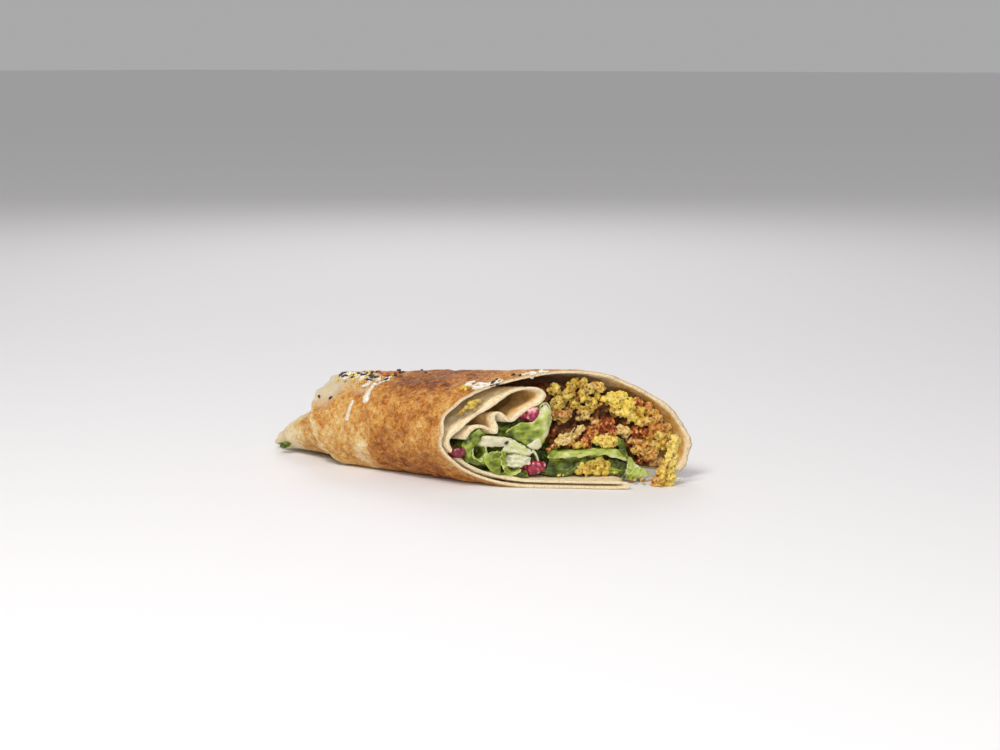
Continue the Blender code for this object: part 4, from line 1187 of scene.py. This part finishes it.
    leaf(
        "lettuce_low_leaf",
        (
            ((-28.6, 11.0, -0.6), (-27.4, 8.8, 0.4), (-25.6, 6.8, 0.8), (-23.2, 5.4, 1.4), (-20.0, 4.2, 1.8), (-17.2, 3.9, 2.2), (-14.6, 4.3, 2.4)),
            ((-27.4, 9.6, 0.2), (-26.4, 8.0, 1.0), (-24.8, 6.4, 1.4), (-22.6, 5.8, 2.0), (-20.0, 5.0, 2.4), (-17.2, 5.2, 2.6), (-14.8, 5.6, 2.6)),
            ((-26.4, 8.6, -2.0), (-25.4, 7.8, -1.6), (-24.2, 7.0, -1.2), (-22.2, 6.6, -1.0), (-20.0, 6.2, -0.6), (-17.4, 6.6, -0.4), (-15.2, 6.8, -0.4)),
            ((-25.8, 8.6, -14.0), (-25.0, 8.0, -14.0), (-24.0, 7.4, -14.0), (-22.2, 7.2, -14.0), (-20.2, 7.0, -14.0), (-17.8, 7.2, -14.0), (-15.6, 7.2, -14.0)),
        ),
        0.7, 57, "lettuce_low", pale=0.04, ruffle=0.5, rim_pale=0.3,
    )
    leaf(
        "lettuce_right_leaf",
        (
            ((-8.2, 13.6, 2.6), (-6.6, 12.4, 3.6), (-2.2, 12.3, 4.6), (2.4, 12.8, 5.0), (6.4, 13.1, 5.0), (10.6, 13.2, 4.8), (15.0, 11.8, 4.6), (18.8, 9.8, 4.2)),
            ((-8.1, 14.2, 2.6), (-6.6, 13.8, 4.0), (-2.2, 13.9, 5.0), (2.6, 14.1, 5.4), (6.6, 14.4, 5.4), (11.0, 14.5, 5.2), (15.6, 13.2, 4.8), (19.0, 10.4, 4.2)),
            ((-7.8, 14.8, 1.6), (-6.4, 15.2, 2.6), (-2.2, 15.5, 3.4), (2.8, 15.4, 3.8), (7.0, 15.6, 3.8), (11.4, 15.6, 3.8), (16.0, 14.9, 3.6), (19.1, 11.2, 3.4)),
            ((-7.2, 15.2, -2.0), (-5.8, 15.8, -1.6), (-2.0, 15.9, -1.2), (2.8, 15.7, -1.0), (7.0, 15.9, -1.0), (11.6, 15.9, -1.0), (16.2, 15.3, -1.0), (19.0, 12.0, -0.6)),
            ((-6.6, 15.2, -18.0), (-5.2, 15.7, -18.0), (-1.8, 15.8, -18.0), (2.8, 15.6, -18.0), (7.0, 15.8, -18.0), (11.6, 15.8, -18.0), (15.8, 15.2, -18.0), (18.2, 12.6, -18.0)),
        ),
        0.7, 58, "lettuce_right", pale=0.5, ruffle=0.25, veins="along", rim_pale=0.15,
        tint_way=lambda u, v: -0.18 * smooth_step(u, 0.25, 0.05) - 0.12 * smooth_step(u, 0.7, 0.95),
    )
    # The fold under the right leaf is painted a deep green, partly its own colour and partly painted shade for the
    # shadow under that leaf.
    leaf(
        "lettuce_right_fold",
        (
            ((-7.6, 12.8, 2.4), (-4.4, 12.4, 3.2), (0.0, 12.6, 3.6), (4.0, 12.9, 3.8), (8.0, 13.0, 4.0), (11.2, 12.8, 4.0)),
            ((-7.8, 11.0, 1.6), (-4.8, 10.6, 1.6), (-0.6, 10.8, 1.8), (3.0, 11.4, 2.0), (6.6, 12.2, 2.6), (10.0, 12.6, 3.0)),
            ((-8.2, 8.4, 2.2), (-5.0, 8.2, 1.6), (-1.2, 8.4, 1.6), (1.8, 9.4, 1.8), (4.8, 11.0, 2.4), (8.0, 12.2, 2.8)),
            ((-8.8, 6.2, 2.6), (-5.6, 5.6, 2.8), (-2.2, 5.4, 3.0), (0.2, 6.4, 3.2), (2.4, 8.6, 3.2), (5.2, 11.0, 3.0)),
            ((-9.0, 5.0, 2.8), (-6.0, 4.2, 3.4), (-2.8, 3.9, 3.8), (-0.2, 5.2, 4.0), (1.6, 7.8, 3.8), (4.2, 10.6, 3.4)),
            ((-9.0, 4.9, -10.0), (-6.0, 4.4, -10.0), (-2.8, 4.3, -10.0), (-0.4, 5.6, -10.0), (1.2, 8.0, -10.0), (3.8, 10.6, -10.0)),
        ),
        0.7, 59, pale=0.04, ruffle=0.75, veins="along", rim_pale=0.2,
        tint_way=lambda u, v: 0.3 * np.exp(-(((v - 0.62) / 0.1) ** 2)),
    )
    # Its dark olive tone is partly the leaf's own colour and partly painted shade, for the shadow it lies in.
    leaf(
        "lettuce_olive_leaf",
        (
            ((12.7, 11.2, 3.8), (12.6, 8.2, 4.4), (12.7, 5.0, 5.0), (13.4, 2.4, 5.8), (14.2, 1.0, 6.6)),
            ((14.8, 11.0, 4.0), (15.0, 8.0, 4.8), (15.0, 5.2, 5.4), (15.2, 2.8, 6.2), (15.4, 1.0, 7.0)),
            ((17.0, 9.9, 4.0), (17.0, 7.6, 4.8), (16.8, 5.2, 5.4), (16.4, 3.0, 6.2), (16.2, 1.6, 6.8)),
            ((18.6, 9.0, 3.6), (18.4, 7.2, 4.0), (18.0, 5.2, 4.6), (17.4, 3.4, 5.4), (16.8, 2.2, 6.0)),
            ((18.9, 9.2, 0.0), (18.8, 7.4, 0.4), (18.4, 5.6, 1.0), (17.8, 4.4, 2.0), (17.2, 3.4, 3.0)),
        ),
        0.7, 60, pale=-0.04, ruffle=0.3, rim_pale=0.1,
        tint_way=lambda u, v: 0.12 * u,
    )
    leaf(
        "lettuce_blade_leaf",
        (
            ((19.3, 12.4, 2.6), (19.4, 9.6, 3.2), (19.2, 6.6, 4.0), (18.8, 3.6, 5.0), (18.2, 1.2, 6.6)),
            ((19.6, 12.2, 3.2), (20.4, 9.4, 3.8), (20.8, 6.4, 4.6), (20.6, 3.6, 5.6), (20.0, 1.0, 7.2)),
            ((19.9, 11.9, 3.2), (21.4, 8.9, 3.8), (22.6, 6.4, 4.6), (23.2, 3.9, 5.6), (23.4, 1.6, 7.0)),
            ((20.1, 11.6, 2.6), (21.8, 8.6, 3.2), (23.8, 6.2, 4.0), (25.6, 4.4, 5.0), (26.2, 2.4, 6.0)),
            ((20.2, 11.4, 1.2), (22.0, 8.5, 1.8), (24.2, 6.2, 2.6), (26.6, 4.4, 3.6), (28.2, 3.4, 4.6)),
        ),
        0.7, 61, "lettuce_blade", pale=0.48, ruffle=0.3, rim_pale=0.3,
        tint_way=lambda u, v: 0.16 * smooth_step(v, 0.3, 0.7) - 0.3 * smooth_step(u, 0.55, 1.0) * smooth_step(v, 0.6, 0.1),
    )
    leaf(
        "lettuce_standing_tip",
        (
            ((15.6, 20.9, 1.6), (16.3, 17.0, 2.4), (17.2, 13.8, 3.2), (18.4, 10.2, 3.6)),
            ((16.9, 20.9, 2.0), (17.6, 17.0, 2.8), (18.2, 13.8, 3.6), (19.0, 10.2, 4.0)),
            ((18.0, 20.4, 1.6), (18.7, 17.0, 2.4), (19.1, 13.8, 3.0), (19.6, 10.8, 3.4)),
        ),
        0.6, 62, pale=0.02, ruffle=0.2, rim_pale=0.15,
    )
    rib = solid_piece(
        "lettuce_rib_stalk",
        ((-30.4, 22.4), (-29.8, 24.6), (-26.9, 24.3), (-22.6, 23.7), (-20.4, 22.9), (-18.6, 21.2), (-19.4, 18.8), (-22.6, 18.9), (-25.2, 19.1), (-28.3, 19.2), (-30.8, 20.2)),
        2.8, -22.0, 63, STALK, "pale_leaf", "lettuce_rib", rough=0.12, dome=0.6,
    )
    paint_flat(rib, "green", 0.05)
    leaf(
        "lettuce_rib_leaf",
        (
            ((-21.4, 23.2, 2.8), (-19.4, 22.0, 2.8), (-17.2, 20.2, 2.8), (-14.8, 18.2, 3.0), (-12.8, 15.9, 3.2)),
            ((-21.6, 21.0, 3.4), (-19.6, 20.0, 3.6), (-17.4, 18.6, 3.6), (-15.2, 17.2, 3.6), (-13.2, 15.6, 3.6)),
            ((-23.0, 18.8, 3.0), (-20.4, 18.0, 3.4), (-17.8, 17.0, 3.6), (-15.6, 15.9, 3.8), (-13.8, 15.0, 3.8)),
            ((-23.6, 17.2, 2.6), (-20.6, 16.4, 2.8), (-18.0, 15.8, 3.0), (-15.8, 15.0, 3.2), (-14.0, 14.4, 3.2)),
            ((-23.6, 16.6, -4.0), (-20.6, 15.9, -4.0), (-18.0, 15.3, -4.0), (-15.8, 14.6, -4.0), (-14.0, 14.1, -4.0)),
        ),
        0.6, 64, pale=0.86, ruffle=0.15, veins="along", rim_pale=0.1,
        tint_way=lambda u, v: -0.34 * smooth_step(v, 0.5, 0.75),
    )
    cabbage = solid_piece(
        "cabbage_piece",
        ((-20.8, 12.2), (-20.7, 14.6), (-18.3, 15.6), (-15.5, 15.1), (-13.9, 13.2), (-13.7, 11.2), (-14.8, 9.6), (-16.6, 9.2), (-18.8, 8.9), (-20.4, 9.6)),
        3.0, -18.0, 65, STALK, "pale_leaf", "white_cabbage", rough=0.3, dome=0.8,
    )
    folds = coordinates(cabbage)
    local = (folds - ORIGIN) / MM
    layered = np.sin(local[:, 2] * 2.6 + 1.2 * ripple(local, 4, 69) + 0.5 * local[:, 1])
    move_points(cabbage, folds + normals(cabbage) * (0.26 * layered)[:, None] * MM)
    paint(cabbage, "green", np.clip(0.1 - 0.3 * layered, 0, 0.5))
    tip = solid_piece("pale_rib_end", ((-15.2, 19.2), (-13.6, 21.0), (-12.0, 22.6), (-10.4, 22.4), (-10.0, 18.6), (-11.8, 17.0), (-13.6, 17.6)), 3.9, -7.0, 66, STALK, "pale_leaf", rough=0.08)
    paint_flat(tip, "green", 0.15)
    strand = solid_piece(
        "thin_stalk", ((-13.6, 17.2), (-12.9, 17.2), (-11.9, 15.6), (-11.3, 13.6), (-10.9, 11.2), (-11.4, 11.0), (-12.0, 13.4), (-12.8, 15.4)),
        3.4, -1.0, 67, STALK, "pale_leaf", voxel=0.2, rough=0.04, dome=0.2,
    )
    paint_flat(strand, "green", 0.55)


def packed_salad():
    """The darker mass of leaves behind those at the cut."""
    for name, outline, front, back, seed in (
        ("lettuce_packed_left", ((-31.0, 10.5), (-33.4, 16.0), (-32.4, 22.0), (-29.0, 25.0), (-25.0, 23.0), (-21.5, 27.0), (-16.0, 30.0), (-11.0, 33.0), (-7.6, 34.0), (-7.0, 26.0), (-7.4, 18.0), (-7.0, 8.0), (-10.0, 4.8), (-18.0, 4.8), (-25.0, 6.2)), -7.0, -46.0, 86),
        ("lettuce_packed_right", ((-10.0, 4.8), (-11.0, 10.0), (-10.0, 17.0), (0.0, 18.0), (10.0, 18.0), (18.0, 17.5), (24.0, 13.0), (27.0, 7.0), (24.0, 2.6), (14.0, 2.6), (4.0, 3.6)), -7.0, -40.0, 87),
    ):
        mass = solid_piece(name, outline, front, back, seed, LEAF, "lettuce", voxel=0.7, rough=0.0, dome=0.4)
        roughen(mass, 6.0, 1.1, seed)
        roughen(mass, 2.4, 0.8, seed + 1)
        keep_above(mass, 2.4)
        local = (coordinates(mass) - ORIGIN) / MM
        streaks = ripple(local * (0.4, 0.4, 2.2), 4, seed + 3)
        paint(mass, "pale", np.clip(0.12 + 0.16 * ripple(local, 5, seed) + 0.14 * streaks, 0, 1))
        paint(mass, "vein", np.clip(ripple(local, 2.5, seed + 2), 0, 1))


def paint_flat(piece, name, value):
    paint(piece, name, np.full(len(piece.data.vertices), value))


def turnips():
    for name, node, outline, front, back, seed, stain in (
        ("turnip_left_stick", "turnip_left", ((-40.2, 16.0), (-40.0, 18.8), (-38.0, 19.5), (-35.6, 19.0), (-35.1, 17.0), (-36.3, 15.3), (-38.2, 14.2)), 1.6, -30.0, 71, -0.42),
        ("turnip_middle_stick", "turnip_middle", ((-14.9, 32.8), (-14.9, 35.0), (-13.4, 37.2), (-11.7, 37.6), (-10.9, 35.4), (-11.6, 32.4), (-13.4, 30.8)), 1.8, -26.0, 72, 0.0),
        ("turnip_low_stick", "turnip_low", ((-14.4, 6.8), (-14.2, 9.4), (-13.2, 11.2), (-10.4, 11.6), (-8.8, 10.4), (-8.8, 7.8), (-10.0, 6.2), (-12.0, 5.0), (-13.8, 5.0)), 3.4, -26.0, 73, 0.02),
    ):
        stick = solid_piece(name, outline, front, back, seed, TURNIP, "turnip", node, voxel=0.35, rough=0.16, dome=0.7)
        local = (coordinates(stick) - ORIGIN) / MM
        pale_top = 0.5 * smooth_step(local[:, 2], 34.6, 36.6) if node == "turnip_middle" else 0
        paint(stick, "stain", np.clip(0.46 + stain + 0.26 * ripple(local, 2.6, seed) + pale_top, 0, 1))


def tail_leaf():
    low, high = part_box("lettuce_tail")
    middle = np.array((low + high) / 2)
    half = np.array((high - low) / 2)
    random = np.random.default_rng(81)
    centres = middle + random.uniform(-0.75, 0.75, (26, 3)) * half
    points, faces = balls(centres, random.uniform(0.25, 0.5, (26, 1)) * half, 2)
    piece = make("lettuce_tail_leaf", points, faces.tolist(), (LEAF,))
    fuse(piece, 0.3, smoothing=1)
    roughen(piece, 1.6, 0.2, 82)
    local = (coordinates(piece) - ORIGIN) / MM
    paint(piece, "pale", np.clip(0.12 + 0.2 * ripple(local, 3, 83), 0, 1))
    paint(piece, "vein", 0 * local[:, 0])
    finish_piece(piece, "lettuce", "lettuce_tail")


# ---------------------------------------------------------------- sauce, seeds and crumbs on the bread
ROLL_MIDDLE_Y, ROLL_MIDDLE_Z = -8.0, 24.0


class Skin:
    """The outer side of the bread, to lay small things on."""

    def __init__(self, piece):
        self.tree = BVHTree.FromPolygons([v.co for v in piece.data.vertices], [p.vertices[:] for p in piece.data.polygons])

    def touch(self, place_given):
        """The outer side of the bread by a place, looked for from outside, and further from the cut if it isn't there."""
        for back in (0, 5, 10, 15, 20):
            start = np.asarray(place_given) - (back * MM, 0, 0)
            middle = np.array((start[0], ORIGIN[1] + ROLL_MIDDLE_Y * MM, ROLL_MIDDLE_Z * MM))
            out = (start - middle) / np.linalg.norm(start - middle)
            point, normal, _, _ = self.tree.ray_cast(Vector(start + out * 30 * MM), Vector(-out))
            if point is not None and (Vector(start) - point).length < 5 * MM:
                return np.array(point), np.array(normal)
        point, normal, _, _ = self.tree.find_nearest(Vector(place_given))
        return np.array(point), np.array(normal)


def turned_to(normal, spin):
    """Three unit directions: along, across and out of a surface."""
    out = Vector(normal)
    along = out.orthogonal().normalized()
    side = out.cross(along)
    first = along * cos(spin) + side * sin(spin)
    return np.array((first, out.cross(first), out))


def blobs_on(name, skin, spots_given, voxel, seed, material, slot, smoothing=2):
    """Flat blobs laid on the bread and melted together: each is (place, half length, half width, height, spin)."""
    ball, ball_faces = unit_ball(2)
    points, faces = [], []
    for place_given, half_length, half_width, height, spin in spots_given:
        foot, out = skin.touch(place_given)
        ways = turned_to(out, spin)
        size = np.array((half_length, half_width, height)) * MM
        faces.append(ball_faces + len(ball) * len(points))
        points.append(foot + (ball * size) @ ways)
    piece = make(name, np.concatenate(points), np.concatenate(faces).tolist(), (material,))
    fuse(piece, voxel, smoothing)
    roughen(piece, 1.5, 0.08, seed)
    return finish_piece(piece, slot)


def scatter(random, centre, spread, count):
    return [row(*(np.asarray(centre) + random.normal(size=3) * np.asarray(spread))) for _ in range(count)]


def sauce(skin):
    random = np.random.default_rng(91)
    laid = []
    for centre, spread, count, size in (
        ((46, -19, 42), (3.0, 2.6, 1.0), 12, 1.7), ((57, -20, 44), (5.0, 2.4, 1.0), 16, 1.7), ((68, -24, 46), (6.5, 2.6, 1.5), 34, 2.0),
        ((134, -31, 51), (4.0, 2.0, 1.0), 16, 1.9), ((146, -27, 52), (5.0, 2.2, 0.8), 18, 1.8), ((166, -12, 54), (7.0, 2.6, 0.6), 12, 1.7),
    ):
        for place_given in scatter(random, centre, spread, count):
            laid.append((place_given, size * random.uniform(0.7, 1.7), size * random.uniform(0.6, 1.1), random.uniform(0.3, 0.55), random.uniform(0, pi)))
    blobs_on("sauce_smears", skin, laid, 0.4, 92, SAUCE, "bread")
    drips = []
    for top, bottom, half in (((71.0, -28, 42.6), (73.6, -36, 35.6), 1.9), ((65.8, -36, 33.8), (65.0, -38, 25.8), 1.25)):
        for k in range(11):
            share = k / 10
            centre = np.array(top) + (np.array(bottom) - np.array(top)) * share
            drips.append((row(*centre), half * (0.8 + 0.35 * share), half * (0.8 + 0.35 * share), 0.7 + 0.4 * share, 0.0))
    drips.append((row(39.8, -37, 15.2), 1.3, 1.2, 0.9, 0.3))
    blobs_on("sauce_drips", skin, drips, 0.3, 93, SAUCE, "bread", smoothing=4)


def toasted_glob(skin):
    """A burnt lump of crumbs stuck on top of the roll."""
    random = np.random.default_rng(95)
    lumps = []
    for place_given in scatter(random, (70, -17, 47), (4.4, 2.4, 0.8), 40):
        size = random.uniform(0.8, 1.7)
        lumps.append((place_given, size, size * random.uniform(0.6, 1.0), size * 0.8, random.uniform(0, pi)))
    glob = blobs_on("toasted_crumb_lump", skin, lumps, 0.36, 96, CRUMB, "falafel", smoothing=1)
    local = (coordinates(glob) - ORIGIN) / MM
    paint(glob, "crust", np.clip(0.66 + 0.25 * ripple(local, 3, 97), 0, 1))
    paint(glob, "pale", np.clip(0.3 * ripple(local, 4, 98), 0, 1))
    paint(glob, "depth", 0 * local[:, 0])


def seed_shape():
    """One nigella seed: a ball drawn out, flattened on three sides and pinched at one end, in millimetres."""
    bpy.ops.mesh.primitive_ico_sphere_add(subdivisions=2, radius=1.0)
    seed = bpy.context.object
    bpy.ops.object.mode_set(mode="EDIT")
    bpy.ops.transform.resize(value=(1.35, 0.76, 0.66))
    for low, high, pinch in ((0.55, 2.0, 0.7), (-2.0, -0.7, 1.12)):
        made = bmesh.from_edit_mesh(seed.data)
        for vertex in made.verts:
            vertex.select_set(low < vertex.co.x < high)
        made.select_flush_mode()
        bpy.ops.transform.resize(value=(1.0, pinch, pinch))
    bpy.ops.object.mode_set(mode="OBJECT")
    shape = np.array([v.co for v in seed.data.vertices])
    faces = np.array([p.vertices[:] for p in seed.data.polygons])
    bpy.data.objects.remove(seed)
    ridge = np.abs(np.arctan2(shape[:, 2], shape[:, 1]) / (2 * pi / 3) % 1 - 0.5)
    return shape * (1 + 0.2 * ridge)[:, None], faces


def seeds(skin):
    random = np.random.default_rng(101)
    spots_given = [row(42.6, -32, 32.5), row(50.3, -34, 33.2), row(66.9, -26, 44.3), row(77.9, -20, 47.6), row(78.5, -16.5, 48.5)]
    for centre, spread, count in (
        ((48, -18, 43), (2.6, 1.6, 0.5), 11), ((57, -17, 44), (3.4, 2.4, 0.6), 8), ((66, -22, 45), (3.4, 2.0, 0.6), 7),
        ((76, -18, 47), (3.0, 2.0, 0.6), 6), ((146, -26, 51), (3.4, 1.6, 0.6), 7), ((153, -18, 53), (5.0, 3.0, 0.6), 3),
        ((90, -6, 49), (18.0, 6.0, 1.0), 4), ((110, 12, 46), (26.0, 8.0, 2.0), 7),
    ):
        spots_given += scatter(random, centre, spread, count)
    shape, shape_faces = seed_shape()
    points, faces = [], []
    for place_given in spots_given:
        foot, out = skin.touch(place_given)
        ways = turned_to(out, random.uniform(0, 2 * pi))
        size = random.uniform(0.8, 1.05)
        faces.append(shape_faces + len(shape) * len(points))
        points.append(foot + out * 0.42 * MM + (shape * size * MM) @ ways)
    on_rib = spot(-22.0, 21.0, 4.0)
    faces.append(shape_faces + len(shape) * len(points))
    points.append(on_rib + (shape * 0.95 * MM) @ turned_to((0.4, -0.5, 0.75), 0.6))
    on_wall = spot(38.0, 17.3, -1.5)
    faces.append(shape_faces + len(shape) * len(points))
    points.append(on_wall + (shape * 0.9 * MM) @ turned_to((0.3, -0.9, 0.1), 1.5))
    piece = make("nigella_seeds", np.concatenate(points), np.concatenate(faces).tolist(), (SEED,))
    finish_piece(piece, "bread")


def loose_crumbs(skin):
    """Small bits of falafel on the bread and along the cut."""
    random = np.random.default_rng(111)
    centres = []
    for centre, spread, count in (((64, -28, 42.3), (1.2, 0.8, 0.8), 10), ((129, -34, 49.5), (1.6, 0.8, 0.8), 12), ((55, -22, 43), (8, 4, 1), 14)):
        for place_given in scatter(random, centre, spread, count):
            foot, out = skin.touch(place_given)
            centres.append((foot + out * 0.5 * MM, random.uniform(0.5, 1.2)))
    for y, z, forward, spread, count in ((-3, 4.4, 6, 1.6, 5), (14, 4.6, 5, 1.4, 6), (21, 1.0, 9, 2.4, 7), (27, 0.8, 14, 2.6, 10), (33, 0.8, 24, 3.0, 5)):
        for _ in range(count):
            shift = random.normal(size=2) * spread
            centres.append((spot(y + shift[0], max(z, 0.4), forward + shift[1]), random.uniform(0.3, 0.8)))
    points, faces = balls(np.array([c for c, _ in centres]), np.array([s for _, s in centres]) * MM, 2)
    points += ripple(points / MM, 0.8, 112)[:, None] * 0.18 * MM
    points[:, 2] = np.maximum(points[:, 2], 0)
    piece = make("falafel_loose_crumbs", points, faces.tolist(), (CRUMB,))
    local = (points - ORIGIN) / MM
    paint(piece, "crust", np.clip(0.25 + 0.3 * ripple(local, 6, 113), 0, 1))
    paint(piece, "pale", np.clip(0.15 + 0.3 * ripple(local, 5, 114), 0, 1))
    paint(piece, "depth", 0 * local[:, 0])
    finish_piece(piece, "falafel")


# ---------------------------------------------------------------- floor, light and camera
CAMERA_PLACE = (614.8, -696.0, 198.0)  # in millimetres along, across and above, from the tip of the tail
CAMERA_AZIMUTH, CAMERA_PITCH = 35.0, 10.0
LENS = 64.08


def floor():
    bpy.ops.mesh.primitive_plane_add(size=60.0)
    plane = bpy.context.object
    plane.name = "floor"
    material, tree, shader = new_material("pale_floor", roughness=0.7, specular=0.2)
    shader.inputs["Base Color"].default_value = colour(236, 234, 236)
    plane.data.materials.append(material)


def light(name, place_given, target, size, power, tint=(1, 1, 1)):
    data = bpy.data.lights.new(name, "AREA")
    data.shape = "DISK"
    data.size = size
    data.energy = power
    data.color = tint
    lamp = bpy.data.objects.new(name, data)
    bpy.context.scene.collection.objects.link(lamp)
    lamp.location = place_given
    lamp.rotation_euler = (Vector(target) - Vector(place_given)).to_track_quat("-Z", "Y").to_euler()


def studio():
    floor()
    light("key", (0.1, -0.85, 1.1), (0, 0, 0.02), 0.5, 11.0, (1.0, 0.98, 0.95))
    light("fill", (0.85, -0.9, 0.6), (0, 0, 0.03), 0.7, 5.0, (1.0, 0.99, 0.97))
    light("back", (-0.7, 0.9, 0.9), (0, 0, 0.03), 0.8, 4.0)
    world = bpy.data.worlds.new("studio")
    bpy.context.scene.world = world
    world.use_nodes = True
    background = world.node_tree.nodes["Background"]
    background.inputs["Color"].default_value = (1, 1, 1, 1)
    background.inputs["Strength"].default_value = 0.4
    bpy.context.scene.view_settings.view_transform = "Standard"


def camera():
    data = bpy.data.cameras.new("camera")
    data.lens = LENS
    data.sensor_width = 36.0
    data.clip_start = 0.01
    view = bpy.data.objects.new("camera", data)
    bpy.context.scene.collection.objects.link(view)
    view.location = row(*CAMERA_PLACE)
    azimuth, pitch = radians(CAMERA_AZIMUTH), radians(CAMERA_PITCH)
    way = Vector((-sin(azimuth) * cos(pitch), cos(azimuth) * cos(pitch), -sin(pitch)))
    view.rotation_euler = way.to_track_quat("-Z", "Y").to_euler()
    bpy.context.scene.camera = view


def build():
    deselect()
    bread = flatbread()
    tail_turn("flatbread_tail_outer", 13.0, 78.0, 0.0, 11)
    tail_turn("flatbread_tail_middle", 5.0, 40.0, 1.4, 14)
    tail_turn("flatbread_tail_tip", -0.2, 24.0, 2.4, 17, closed_tip=True)
    falafel_heap()
    falafel_spill()
    finish_piece(crumble("falafel_low_crumbs", LOW_LUMPS, 0.36, 43), "falafel", "falafel_low")
    finish_piece(crumble("falafel_pocket_crumbs", POCKET_LUMPS, 0.3, 44, grain=(0.3, 0.7)), "falafel", "falafel_pocket")
    finish_piece(crumble("falafel_crust_scrap", SCRAP_LUMPS, 0.3, 45, grain=(0.3, 0.6)), "falafel")
    salad()
    packed_salad()
    turnips()
    tail_leaf()
    skin = Skin(bread)
    sauce(skin)
    toasted_glob(skin)
    seeds(skin)
    loose_crumbs(skin)
    studio()
    camera()


build()
